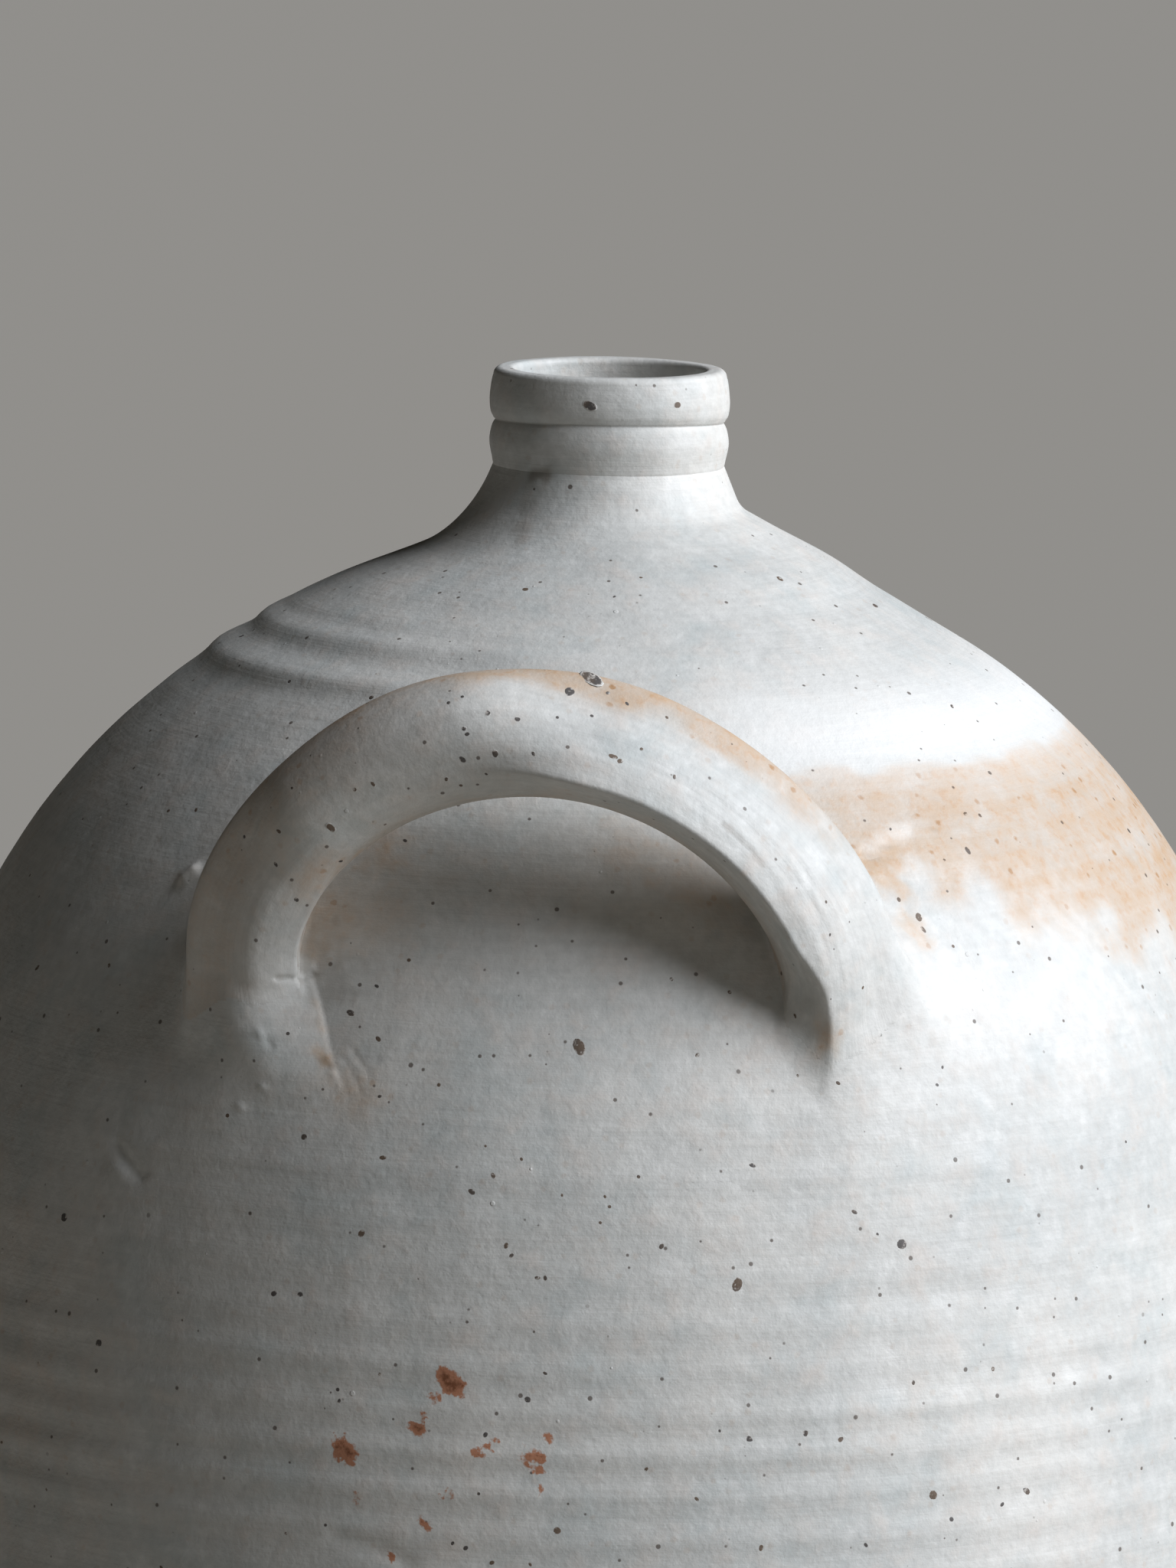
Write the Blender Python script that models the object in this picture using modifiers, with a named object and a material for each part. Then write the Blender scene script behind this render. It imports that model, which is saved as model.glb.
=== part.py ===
"""Stoneware demijohn: a big-bellied jug with a short neck and one bow handle on its shoulder.

Run it with: blender --background --python part.py

The jug is built as a potter builds it: thrown rings luted one on another with a V-shaped seam, a
neck and a mouth collar set on top, and a pulled handle whose feet are worked into the shoulder.
Metres, +Z up, the origin at the centre of the foot, the handle on the -Y side.
"""

import math

import bmesh
import bpy
import numpy as np
from mathutils import Matrix, Vector

MM = 0.001

# Body
overall_height = 435 * MM
belly_height = 190 * MM
belly_radius = 158.5 * MM
foot_radius = 99 * MM
foot_bevel = 3 * MM
wall_thickness = 8.5 * MM
base_thickness = 13 * MM

# The profile's curves: how far each one is pulled along its end directions. The belly's upward pull
# is a share of the shoulder's rise, the shoulder's pull a share of the step from the neck's seat out
# to the belly, and the two below are shares of the belly's height.
belly_pull_up_share = 0.7725
shoulder_pull_share = 0.4083
shoulder_fall_angle = math.radians(28)
belly_pull_down_share = 0.4842
foot_pull_share = 0.3263
foot_flare_angle = math.radians(27)

# Seams between the clay sections
lower_wall_height = 116 * MM
belly_wall_height = 118 * MM
lute_depth = 3 * MM
lute_gap = 0.3 * MM

# Neck and mouth collar
neck_height = 13.7 * MM
collar_height = 20.3 * MM
neck_offset = 2.4 * MM
neck_foot_radius = 31 * MM
neck_seat_margin = 2.6 * MM
collar_seat_radius = 24.7 * MM
bore_radius = 20.5 * MM
throat_depth = 6 * MM
throat_flare = 4 * MM
collar_lute_depth = 1.2 * MM
upper_band_radius = 26 * MM
lower_band_radius = 25.85 * MM
band_groove_radius = 24.85 * MM
upper_band_drop = 6 * MM
band_groove_drop = 10.3 * MM
lower_band_drop = 15.3 * MM
rim_outer_round = 1.7 * MM
rim_inner_round = 1.3 * MM
rim_lip_radius = 25.3 * MM

# Handle
handle_root_drop = 78 * MM
handle_half_span = 62.5 * MM
handle_rise = 49.5 * MM
handle_lean = 12 * MM
handle_clearing_rise = 12.4 * MM
handle_tilt = math.radians(1.7)
handle_crown_radius = 13.5 * MM
handle_leg_radius = 12.3 * MM
handle_leg_length = 32 * MM
handle_leg_depth = 24.6 * MM
handle_arch_share = 1.57
handle_shoulder_share = 2.04

# Pads of clay round the handle's feet
pad_half_width = 25 * MM
pad_half_length = 31 * MM
pad_depth = 13 * MM
pad_drop = 8 * MM

# How finely the shapes are divided
outer_step = 16 * MM
inner_step = 27 * MM
body_segments = 60
neck_segments = 48
round_steps = 3
band_steps = 3
curve_samples = 240
handle_rings = 30
leg_rings = 4
pad_segments = 24
pad_rings = 12
cutter_overrun = 10 * MM
weld_distance = 0.01 * MM
smooth_angle = math.radians(40)

collar_base = overall_height - collar_height
neck_base = collar_base - neck_height
neck_seat_radius = neck_foot_radius + neck_seat_margin
belly_wall_base = base_thickness + lower_wall_height
shoulder_wall_base = belly_wall_base + belly_wall_height
handle_root_height = neck_base - handle_root_drop


def clay(name, colour, roughness):
    """A fired clay material with one colour."""
    material = bpy.data.materials.new(name)
    material.use_nodes = True
    shader = material.node_tree.nodes["Principled BSDF"]
    shader.inputs["Base Color"].default_value = (*colour, 1)
    shader.inputs["Roughness"].default_value = roughness
    shader.inputs["Metallic"].default_value = 0
    return material


def cubic(start, pull_start, pull_end, end):
    """Points of a cubic curve between two (radius, height) points."""
    t = np.linspace(0, 1, curve_samples)[:, None]
    s = 1 - t
    ends = s**3 * np.array(start) + t**3 * np.array(end)
    return ends + 3 * s**2 * t * np.array(pull_start) + 3 * s * t**2 * np.array(pull_end)


def body_profile():
    """The outer profile from the neck seat down to the foot, as (radius, height) points."""
    fall = (math.cos(shoulder_fall_angle), -math.sin(shoulder_fall_angle))
    flare = (math.sin(foot_flare_angle), math.cos(foot_flare_angle))
    shoulder_pull = shoulder_pull_share * (belly_radius - neck_seat_radius)
    belly_pull_up = belly_pull_up_share * (neck_base - belly_height)
    belly_pull_down = belly_pull_down_share * belly_height
    foot_pull = foot_pull_share * belly_height
    shoulder = cubic(
        (neck_seat_radius, neck_base),
        (neck_seat_radius + shoulder_pull * fall[0], neck_base + shoulder_pull * fall[1]),
        (belly_radius, belly_height + belly_pull_up),
        (belly_radius, belly_height),
    )
    foot = cubic(
        (belly_radius, belly_height),
        (belly_radius, belly_height - belly_pull_down),
        (foot_radius + foot_pull * flare[0], foot_bevel + foot_pull * flare[1]),
        (foot_radius, foot_bevel),
    )
    return np.concatenate([shoulder, foot[1:]])


def offset_profile(profile, distance):
    """The profile moved along its outward normals."""
    along = np.gradient(profile, axis=0)
    along /= np.linalg.norm(along, axis=1)[:, None]
    normals = np.stack([-along[:, 1], along[:, 0]], axis=1)
    return profile + distance * normals


def radius_at(profile, height):
    """The profile's radius at a height."""
    rising = profile[::-1]
    return float(np.interp(height, rising[:, 1], rising[:, 0]))


def stretch(profile, top, bottom, step):
    """Points of the profile from top down to bottom, about one step apart, both ends included."""
    inside = (profile[:, 1] < top) & (profile[:, 1] > bottom)
    ends = [(radius_at(profile, top), top)], [(radius_at(profile, bottom), bottom)]
    points = np.concatenate([ends[0], profile[inside], ends[1]])
    travelled = np.concatenate([[0], np.cumsum(np.linalg.norm(np.diff(points, axis=0), axis=1))])
    wanted = np.linspace(0, travelled[-1], max(2, math.ceil(travelled[-1] / step)) + 1)
    return [tuple(np.interp(d, travelled, points[:, i]) for i in (0, 1)) for d in wanted]


OUTER = body_profile()
INNER = offset_profile(OUTER, -wall_thickness)


def lute_middle(height):
    """The bottom of the V-shaped seam whose lips lie at a height."""
    middle = (radius_at(OUTER, height) + radius_at(INNER, height)) / 2
    return [(middle, height - lute_depth)]


def quarter_round(centre, radius, start, end):
    """Points of an arc about a (radius, height) centre, from one angle to another."""
    angles = np.linspace(start, end, round_steps + 1)
    return [(centre[0] + radius * math.cos(a), centre[1] + radius * math.sin(a)) for a in angles]


def smooth_through(points, steps):
    """A curve through (radius, height) points, with its first and last stretch left out."""
    curve = []
    for before, start, end, after in zip(points, points[1:], points[2:], points[3:]):
        for t in np.arange(steps) / steps:
            curve.append(
                tuple(
                    s
                    + 0.5 * t * (e - b + t * (2 * b - 5 * s + 4 * e - a + t * (3 * (s - e) + a - b)))
                    for b, s, e, a in zip(before, start, end, after)
                )
            )
    return curve + [points[-2]]


def link(obj, collection, hidden=False):
    collection.objects.link(obj)
    obj.hide_render = hidden
    if hidden:
        obj.display_type = "WIRE"
    return obj


def evaluated_mesh(obj):
    """The object's mesh with its modifiers applied."""
    bpy.context.view_layer.update()
    graph = bpy.context.evaluated_depsgraph_get()
    return bpy.data.meshes.new_from_object(obj.evaluated_get(graph))


def settle(obj, material):
    """Applies the object's modifiers and shades it smooth between its sharp edges."""
    mesh = evaluated_mesh(obj)
    obj.modifiers.clear()
    obj.data = mesh
    mesh.materials.clear()
    mesh.materials.append(material)
    mesh.shade_smooth()
    mesh.set_sharp_from_angle(angle=smooth_angle)
    return obj


def turned(name, outline, segments, collection, hidden=False):
    """A shape turned about Z from an outline that runs down its outer side.

    An outline that begins and ends on the axis stays open there, and any other one is closed.
    """
    on_axis = outline[0][0] == 0 and outline[-1][0] == 0
    count = len(outline)
    edges = [(i, i + 1) for i in range(count - 1)] + ([] if on_axis else [(count - 1, 0)])
    mesh = bpy.data.meshes.new(name)
    mesh.from_pydata([(r, 0, z) for r, z in outline], edges, [])
    obj = link(bpy.data.objects.new(name, mesh), collection, hidden)
    screw = obj.modifiers.new("Turn", "SCREW")
    screw.axis = "Z"
    screw.angle = math.tau
    screw.steps = segments
    screw.render_steps = segments
    screw.use_merge_vertices = True
    screw.merge_threshold = weld_distance
    return obj


def wall_ring(name, top, bottom, collection):
    """A thrown ring of the body, with a V-shaped groove on top and a tongue underneath."""
    outline = (
        stretch(OUTER, top, bottom, outer_step)
        + lute_middle(bottom)
        + stretch(INNER, top, bottom, inner_step)[::-1]
        + lute_middle(top)
    )
    return turned(name, outline, body_segments, collection)


def base_slab(collection):
    """The clay disc that the jug stands on, with the seat of the first ring round its edge."""
    outline = (
        [(0, base_thickness), (radius_at(INNER, base_thickness), base_thickness)]
        + lute_middle(base_thickness)
        + stretch(OUTER, base_thickness, foot_bevel, outer_step)
        + [(foot_radius - foot_bevel, 0), (0, 0)]
    )
    return turned("base_slab", outline, body_segments, collection)


def shoulder_wall(collection):
    """The dome of the shoulder, from its seam up to the flat seat under the neck."""
    bottom = shoulder_wall_base + lute_gap
    throat = [
        (bore_radius + throat_flare, neck_base - throat_depth),
        (bore_radius, neck_base - throat_depth + throat_flare),
        (bore_radius, neck_base),
    ]
    outline = (
        stretch(OUTER, neck_base, bottom, outer_step)
        + lute_middle(bottom)
        + stretch(INNER, INNER[0, 1], bottom, inner_step)[::-1]
        + throat
    )
    return turned("shoulder_wall", outline, body_segments, collection)


def neck(collection):
    """The short cone between the shoulder and the mouth collar."""
    middle = (bore_radius + collar_seat_radius) / 2
    outline = [
        (collar_seat_radius, collar_base),
        (neck_foot_radius, neck_base + lute_gap),
        (bore_radius, neck_base + lute_gap),
        (bore_radius, collar_base),
        (middle, collar_base - collar_lute_depth),
    ]
    return turned("neck", outline, neck_segments, collection)


def mouth_collar(collection):
    """The collar: a rim with a flat top, two soft bands with a groove between, and its seam."""
    top = overall_height
    bottom = collar_base + lute_gap
    middle = (bore_radius + collar_seat_radius) / 2
    rim_edge = (rim_lip_radius - rim_outer_round, top - rim_outer_round)
    bands = [
        (rim_lip_radius - rim_outer_round, top),
        (rim_lip_radius, top - rim_outer_round),
        (upper_band_radius, top - upper_band_drop),
        (band_groove_radius, top - band_groove_drop),
        (lower_band_radius, top - lower_band_drop),
        (collar_seat_radius, bottom),
        (collar_seat_radius, bottom - lute_gap),
    ]
    outline = (
        quarter_round(rim_edge, rim_outer_round, math.pi / 2, 0)[:-1]
        + smooth_through(bands, band_steps)
        + [(middle, bottom - collar_lute_depth), (bore_radius, bottom)]
        + quarter_round(
            (bore_radius + rim_inner_round, top - rim_inner_round),
            rim_inner_round,
            math.pi,
            math.pi / 2,
        )
    )
    return turned("mouth_collar", outline, neck_segments, collection)


def wall_cutter(collection):
    """The whole body, solid and one seam gap larger, that shapes what is luted onto it."""
    grown = offset_profile(OUTER, lute_gap)
    outline = (
        [(0, neck_base + cutter_overrun), (neck_seat_radius, neck_base + cutter_overrun)]
        + stretch(grown, neck_base, foot_bevel, outer_step)
        + [(0, foot_bevel)]
    )
    return turned("wall_cutter", outline, body_segments, collection, hidden=True)


def handle_foot(side):
    """Where a leg's centre line reaches the handle's foot level, for side -1 (left) or 1.

    The back of a leg leaves the wall at a named rise above that level, so the bow stands free.
    """
    height = handle_root_height - side * handle_half_span * math.tan(handle_tilt)
    reach = radius_at(OUTER, handle_root_height + handle_clearing_rise) + handle_leg_radius
    return Vector((side * handle_half_span, -math.sqrt(reach**2 - handle_half_span**2), height))


def handle_path():
    """The handle's centre line as (point, radius) pairs: down each leg and over the bow."""
    left, right = handle_foot(-1), handle_foot(1)
    bow = []
    for angle in np.linspace(0, math.pi, handle_rings + 1):
        across = -math.copysign(abs(math.cos(angle)) ** (2 / handle_shoulder_share), math.cos(angle))
        up = math.sin(angle) ** (2 / handle_arch_share)
        base = left.lerp(right, (1 + across) / 2)
        radius = handle_leg_radius + (handle_crown_radius - handle_leg_radius) * up**2
        bow.append((base + Vector((0, -handle_lean * up, handle_rise * up)), radius))
    buried_reach = radius_at(OUTER, handle_root_height - handle_leg_length) - handle_leg_depth
    shares = np.arange(1, leg_rings + 1) / leg_rings
    legs = []
    for foot in (left, right):
        outward = Vector((foot.x, foot.y, 0))
        sunk = outward.normalized() * (buried_reach - outward.length)
        steps = [sunk * s**2 - Vector((0, 0, handle_leg_length * s)) for s in shares]
        legs.append([(foot + step, handle_leg_radius) for step in steps])
    return legs[0][::-1] + bow + legs[1]


def rod(name, path, grow, collection, hidden=False):
    """A round rod along (point, radius) pairs, as a mesh, thickened by grow."""
    curve = bpy.data.curves.new(name, "CURVE")
    curve.dimensions = "3D"
    curve.bevel_depth = handle_crown_radius
    curve.bevel_resolution = 2
    curve.use_fill_caps = True
    spline = curve.splines.new("POLY")
    spline.points.add(len(path) - 1)
    for point, (place, radius) in zip(spline.points, path):
        point.co = (*place, 1)
        point.radius = (radius + grow) / handle_crown_radius
    guide = link(bpy.data.objects.new(name + "_guide", curve), collection, hidden=True)
    mesh = evaluated_mesh(guide)
    mesh.name = name
    bpy.data.objects.remove(guide)
    tidy = bmesh.new()
    tidy.from_mesh(mesh)
    bmesh.ops.remove_doubles(tidy, verts=tidy.verts, dist=weld_distance)
    bmesh.ops.recalc_face_normals(tidy, faces=tidy.faces)
    tidy.to_mesh(mesh)
    tidy.free()
    return link(bpy.data.objects.new(name, mesh), collection, hidden)


def cut(obj, cutter):
    boolean = obj.modifiers.new("Cut by " + cutter.name, "BOOLEAN")
    boolean.operation = "DIFFERENCE"
    boolean.solver = "EXACT"
    boolean.object = cutter


def root_pad(name, side, collection):
    """A pad of clay pressed round one foot of the handle, lying along the wall."""
    foot = handle_foot(side)
    height = foot.z - pad_drop
    outward = Vector((foot.x, foot.y, 0)).normalized()
    above = radius_at(OUTER, height + pad_drop)
    below = radius_at(OUTER, height - pad_drop)
    down = (outward * (below - above) - Vector((0, 0, 2 * pad_drop))).normalized()
    sideways = Vector((-outward.y, outward.x, 0))
    normal = down.cross(sideways)
    turn = Matrix((sideways, down, normal)).transposed().to_4x4()
    size = Matrix.Diagonal((pad_half_width, pad_half_length, pad_depth, 1))
    place = Matrix.Translation(outward * radius_at(OUTER, height) + Vector((0, 0, height)))
    mesh = bpy.data.meshes.new(name)
    ball = bmesh.new()
    bmesh.ops.create_uvsphere(ball, u_segments=pad_segments, v_segments=pad_rings, radius=1)
    bmesh.ops.transform(ball, matrix=place @ turn @ size, verts=ball.verts)
    bmesh.ops.recalc_face_normals(ball, faces=ball.faces)
    ball.to_mesh(mesh)
    ball.free()
    return link(bpy.data.objects.new(name, mesh), collection)


def main():
    for obj in list(bpy.data.objects):
        bpy.data.objects.remove(obj)
    parts = bpy.data.collections.new("stoneware_demijohn")
    cutters = bpy.data.collections.new("cutters")
    for collection in (parts, cutters):
        bpy.context.scene.collection.children.link(collection)

    pale = clay("pale grey stoneware", (0.62, 0.61, 0.58), 0.62)
    bare = clay("unglazed stoneware foot", (0.52, 0.43, 0.34), 0.85)
    flashed = clay("flashed stoneware handle", (0.66, 0.58, 0.50), 0.6)

    body = [
        (base_slab(parts), bare),
        (wall_ring("lower_wall", belly_wall_base, base_thickness + lute_gap, parts), pale),
        (wall_ring("belly_wall", shoulder_wall_base, belly_wall_base + lute_gap, parts), pale),
        (shoulder_wall(parts), pale),
    ]
    top = [(neck(parts), pale), (mouth_collar(parts), pale)]
    for piece, _ in top:
        piece.location.x = neck_offset

    wall = wall_cutter(cutters)
    path = handle_path()
    handle = rod("carrying_handle", path, 0, parts)
    grown_handle = rod("handle_cutter", path, lute_gap, cutters, hidden=True)
    cut(handle, wall)
    pads = [
        (root_pad("left_handle_root", -1, parts), pale),
        (root_pad("right_handle_root", 1, parts), pale),
    ]
    for pad, _ in pads:
        cut(pad, wall)
        cut(pad, grown_handle)

    for piece, material in body + top + [(handle, flashed)] + pads:
        settle(piece, material)

    centre = bpy.data.objects.new("demijohn_centre", None)
    parts.objects.link(centre)
    for piece in parts.objects:
        if piece is not centre:
            piece.parent = centre


main()
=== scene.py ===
"""Stoneware demijohn: the fired clay surface of the jug, built round its fixed frame.

The outer skin of the whole jug is the zero level of one field, the distance out of the clay. Each
piece is a patch of that skin with its own back and edges, so no seam shows where two pieces meet,
as on the real jug, whose sections were luted wet and smoothed over.
Azimuth is 0 at the front (-Y) and grows towards the right (+X). Lengths are metres.
"""

import math

import bpy
import numpy as np
from mathutils import Euler, Matrix, Vector
from mathutils.bvhtree import BVHTree


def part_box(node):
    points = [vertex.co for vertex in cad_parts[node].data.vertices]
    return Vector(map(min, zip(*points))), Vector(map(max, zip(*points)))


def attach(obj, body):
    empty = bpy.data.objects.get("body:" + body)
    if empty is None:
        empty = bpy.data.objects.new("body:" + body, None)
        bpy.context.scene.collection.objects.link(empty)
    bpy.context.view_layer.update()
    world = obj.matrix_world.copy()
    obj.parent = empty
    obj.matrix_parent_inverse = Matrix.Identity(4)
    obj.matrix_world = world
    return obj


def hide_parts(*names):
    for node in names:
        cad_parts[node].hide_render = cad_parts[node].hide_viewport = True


MM = 0.001
DEG = math.pi / 180
WALL_NAMES = ("neck", "shoulder_wall", "belly_wall", "lower_wall")

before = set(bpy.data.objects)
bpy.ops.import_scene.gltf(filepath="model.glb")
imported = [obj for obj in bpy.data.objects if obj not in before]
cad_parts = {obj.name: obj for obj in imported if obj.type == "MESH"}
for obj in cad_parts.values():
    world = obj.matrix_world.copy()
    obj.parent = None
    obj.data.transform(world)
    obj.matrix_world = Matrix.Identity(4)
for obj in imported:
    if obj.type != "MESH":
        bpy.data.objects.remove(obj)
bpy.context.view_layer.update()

# Heights and radii that the frame gives
rim_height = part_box("mouth_collar")[1].z
collar_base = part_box("neck")[1].z
neck_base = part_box("shoulder_wall")[1].z
shoulder_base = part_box("belly_wall")[1].z
belly_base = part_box("lower_wall")[1].z
slab_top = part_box("base_slab")[1].z
belly_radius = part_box("belly_wall")[1].x
neck_offset = (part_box("neck")[0].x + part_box("neck")[1].x) / 2

# The wall's profile
belly_height = 190 * MM
foot_radius = 99 * MM
foot_bevel = 3 * MM
wall_thickness = 8.5 * MM
shoulder_fall_angle = 28 * DEG
foot_flare_angle = 27 * DEG
belly_pull_up_share = 0.7725
shoulder_pull_share = 0.4083
belly_pull_down_share = 0.4842
foot_pull_share = 0.3263
skin_depth = 0.55 * MM

# Neck and mouth collar
neck_foot_radius = 30.2 * MM
neck_seat_radius = 33.6 * MM
collar_seat_radius = 24.6 * MM
bore_radius = 20.5 * MM
throat_depth = 6 * MM
throat_flare = 4 * MM
neck_round = 4 * MM

# Handle
handle_root_drop = 78 * MM
handle_half_span = 62.5 * MM
handle_rise = 49.5 * MM
handle_lean = 12 * MM
handle_clearing_rise = 12.4 * MM
handle_tilt = 1.7 * DEG
handle_crown_radius = 13.5 * MM
handle_leg_radius = 12.3 * MM
handle_leg_length = 32 * MM
right_leg_length = 26 * MM
handle_leg_depth = 24.6 * MM
handle_arch_share = 1.57
handle_shoulder_share = 2.04
handle_ease = 6 * MM

# The photograph's view
camera_azimuth = 4.66 * DEG
camera_distance = 2308 * MM
camera_height = 666.4 * MM
camera_pitch = 7.96 * DEG
camera_roll = 0.95 * DEG
camera_sideways = -0.92 * MM
focal_length_px = 14000
photo_width_px = 1536
photo_height_px = 2048

# How finely the skin is divided, and the walls' hidden insides
wall_columns = 640
wall_step = 1.6 * MM
neck_columns = 320
neck_step = 0.5 * MM
foot_step = 0.7 * MM
sole_step = 2.2 * MM
root_step = 0.6 * MM
handle_step = 0.65 * MM
handle_columns = 150
inner_step = 12 * MM


def colour(code):
    """A linear colour from an sRGB hex code."""
    shares = [int(code[i : i + 2], 16) / 255 for i in (1, 3, 5)]
    return tuple(s / 12.92 if s <= 0.04045 else ((s + 0.055) / 1.055) ** 2.4 for s in shares)


def in_scene(name, data):
    """A new object of the scene, at the origin."""
    made = bpy.data.objects.new(name, data)
    bpy.context.scene.collection.objects.link(made)
    return made


def photo_camera():
    """The camera at the photograph's viewing angle."""
    data = bpy.data.cameras.new("photo_camera")
    data.sensor_width = 36
    data.lens = focal_length_px * data.sensor_width / photo_height_px
    data.clip_end = 100
    camera = in_scene("photo_camera", data)
    turn = Matrix.Rotation(camera_azimuth, 4, "Z")
    tip = Matrix.Rotation(math.pi / 2 - camera_pitch, 4, "X")
    roll = Matrix.Rotation(camera_roll, 4, "Z")
    place = turn @ Vector((camera_sideways, -camera_distance, camera_height))
    camera.matrix_world = Matrix.Translation(place) @ turn @ tip @ roll
    bpy.context.scene.camera = camera
    bpy.context.view_layer.update()
    return camera


def sight(camera, pixel):
    """The start and the direction of the line of sight through a pixel of the photograph."""
    across = (pixel[0] - photo_width_px / 2) / focal_length_px
    up = (photo_height_px / 2 - pixel[1]) / focal_length_px
    turn = camera.matrix_world.to_3x3()
    return camera.matrix_world.translation.copy(), (turn @ Vector((across, up, -1))).normalized()


def smooth_step(low, high, value):
    """Eases from 0 to 1 as the value goes from low to high."""
    t = np.clip((value - low) / (high - low), 0, 1)
    return t * t * (3 - 2 * t)


def bell(distance, width):
    """1 at no distance, falling to about a third at the width."""
    return np.exp(-((distance / width) ** 2))


def around(azimuth, centre):
    """The angle from a centre azimuth, between -pi and pi."""
    return (azimuth - centre + math.pi) % math.tau - math.pi


def swell(points, wavelength, seed, waves=9):
    """Smooth unevenness between about -1 and 1, made of plane waves in fixed random directions."""
    draw = np.random.default_rng(seed)
    total = np.zeros(len(points))
    for _ in range(waves):
        heading = draw.normal(size=3)
        heading /= np.linalg.norm(heading)
        length = wavelength * draw.uniform(0.7, 1.5)
        total += np.sin(points @ heading * (math.tau / length) + draw.uniform(0, math.tau))
    return total / math.sqrt(waves)


def cubic(start, pull_start, pull_end, end, samples=900):
    """Points along a cubic curve from its two ends and its two pulls."""
    t = np.linspace(0, 1, samples)[:, None]
    s = 1 - t
    ends = s**3 * np.array(start) + t**3 * np.array(end)
    return ends + 3 * s**2 * t * np.array(pull_start) + 3 * s * t**2 * np.array(pull_end)


def wall_profile():
    """The body's outer profile from the neck's seat down to the foot, as (radius, height)."""
    fall = (math.cos(shoulder_fall_angle), -math.sin(shoulder_fall_angle))
    flare = (math.sin(foot_flare_angle), math.cos(foot_flare_angle))
    shoulder_pull = shoulder_pull_share * (belly_radius - neck_seat_radius)
    belly_pull_up = belly_pull_up_share * (neck_base - belly_height)
    belly_pull_down = belly_pull_down_share * belly_height
    foot_pull = foot_pull_share * belly_height
    shoulder = cubic(
        (neck_seat_radius, neck_base),
        (neck_seat_radius + shoulder_pull * fall[0], neck_base + shoulder_pull * fall[1]),
        (belly_radius, belly_height + belly_pull_up),
        (belly_radius, belly_height),
    )
    foot = cubic(
        (belly_radius, belly_height),
        (belly_radius, belly_height - belly_pull_down),
        (foot_radius + foot_pull * flare[0], foot_bevel + foot_pull * flare[1]),
        (foot_radius, foot_bevel),
    )
    return np.concatenate([shoulder, foot[1:]])


def profile_normals(profile):
    """Unit normals out of a falling profile of (radius, height) points."""
    along = np.gradient(profile, axis=0)
    along /= np.linalg.norm(along, axis=1)[:, None]
    return np.stack([-along[:, 1], along[:, 0]], axis=1)


WALL = wall_profile()
INNER_WALL = WALL - wall_thickness * profile_normals(WALL)


def radius_at(profile, height):
    """The radius of a falling profile at a height."""
    rising = profile[::-1]
    return np.interp(height, rising[:, 1], rising[:, 0])


def clipped(profile, top, bottom):
    """The part of a falling profile between two heights, with a point at each."""
    inside = profile[(profile[:, 1] < top) & (profile[:, 1] > bottom)]
    ends = [[(radius_at(profile, h), h)] for h in (top, bottom)]
    return np.concatenate([ends[0], inside, ends[1]])


def evenly(points, step):
    """Points along a line of (radius, height) points, about one step apart."""
    travelled = np.concatenate([[0], np.cumsum(np.linalg.norm(np.diff(points, axis=0), axis=1))])
    wanted = np.linspace(0, travelled[-1], max(1, math.ceil(travelled[-1] / step)) + 1)
    return np.stack([np.interp(wanted, travelled, points[:, i]) for i in (0, 1)], axis=1)


# The wall as (height, radius), from the foot up, with the shoulder's slope run on under the neck
slope_under_neck = math.tan(shoulder_fall_angle)
cone_tip_radius = 2 * MM
cone_tip = (cone_tip_radius, neck_base + (neck_seat_radius - cone_tip_radius) * slope_under_neck)
FIELD_PROFILE = np.concatenate([[cone_tip], WALL])[::-1]
FIELD_FACING = profile_normals(FIELD_PROFILE[::-1])[::-1, 0]

# Rings that the potter's fingers left: height, rise (a groove is negative) and half width in mm,
# then the azimuth where the ring is strongest and how far round it spreads, in degrees
THROWN_RINGS = [
    (391.0, 0.20, 2.2, -50, 80),
    (386.5, -0.16, 1.6, -50, 80),
    (382.3, -0.22, 1.0, -45, 75),
    (380.3, 0.42, 1.5, -60, 80),
    (377.4, -0.70, 2.1, -72, 78),
    (374.0, 0.80, 1.9, -62, 80),
    (369.8, -0.28, 2.6, -80, 70),
    (282.2, 0.20, 2.3, -20, 200),
    (273.0, 0.13, 2.3, -20, 200),
    (263.0, 0.20, 2.6, -30, 200),
    (253.1, 0.24, 2.6, -30, 200),
    (244.4, 0.42, 2.3, -40, 200),
    (235.0, 0.50, 2.1, -40, 200),
    (226.4, 0.56, 2.1, -40, 200),
    (218.0, 0.54, 2.1, -40, 200),
    (209.0, 0.52, 2.1, -40, 200),
]
ring_spacing = 9.3
faint_ring_rise = 0.05
low_ring_rise = 0.38
highest_even_ring = 282.2
lowest_named_ring = 203
highest_low_ring = 22


def all_rings():
    """The named rings, the rings below them down to the foot, and faint ones above the belly."""
    draw = np.random.default_rng(7)
    rings = list(THROWN_RINGS)
    height = lowest_named_ring - ring_spacing / 3
    while height > highest_low_ring:
        rings.append((height, low_ring_rise * draw.uniform(0.5, 1.15), 2.5, draw.uniform(-180, 180), 260))
        height -= ring_spacing * draw.uniform(0.85, 1.2)
    height = highest_even_ring + ring_spacing
    while height < THROWN_RINGS[0][0] + ring_spacing:
        rise = faint_ring_rise * draw.uniform(-1, 1.6)
        rings.append((height, rise, 1.8, draw.uniform(-180, 180), 200))
        height += ring_spacing * draw.uniform(0.4, 0.8)
    return rings


RINGS = all_rings()
ring_sway = 0.35 * MM


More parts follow.
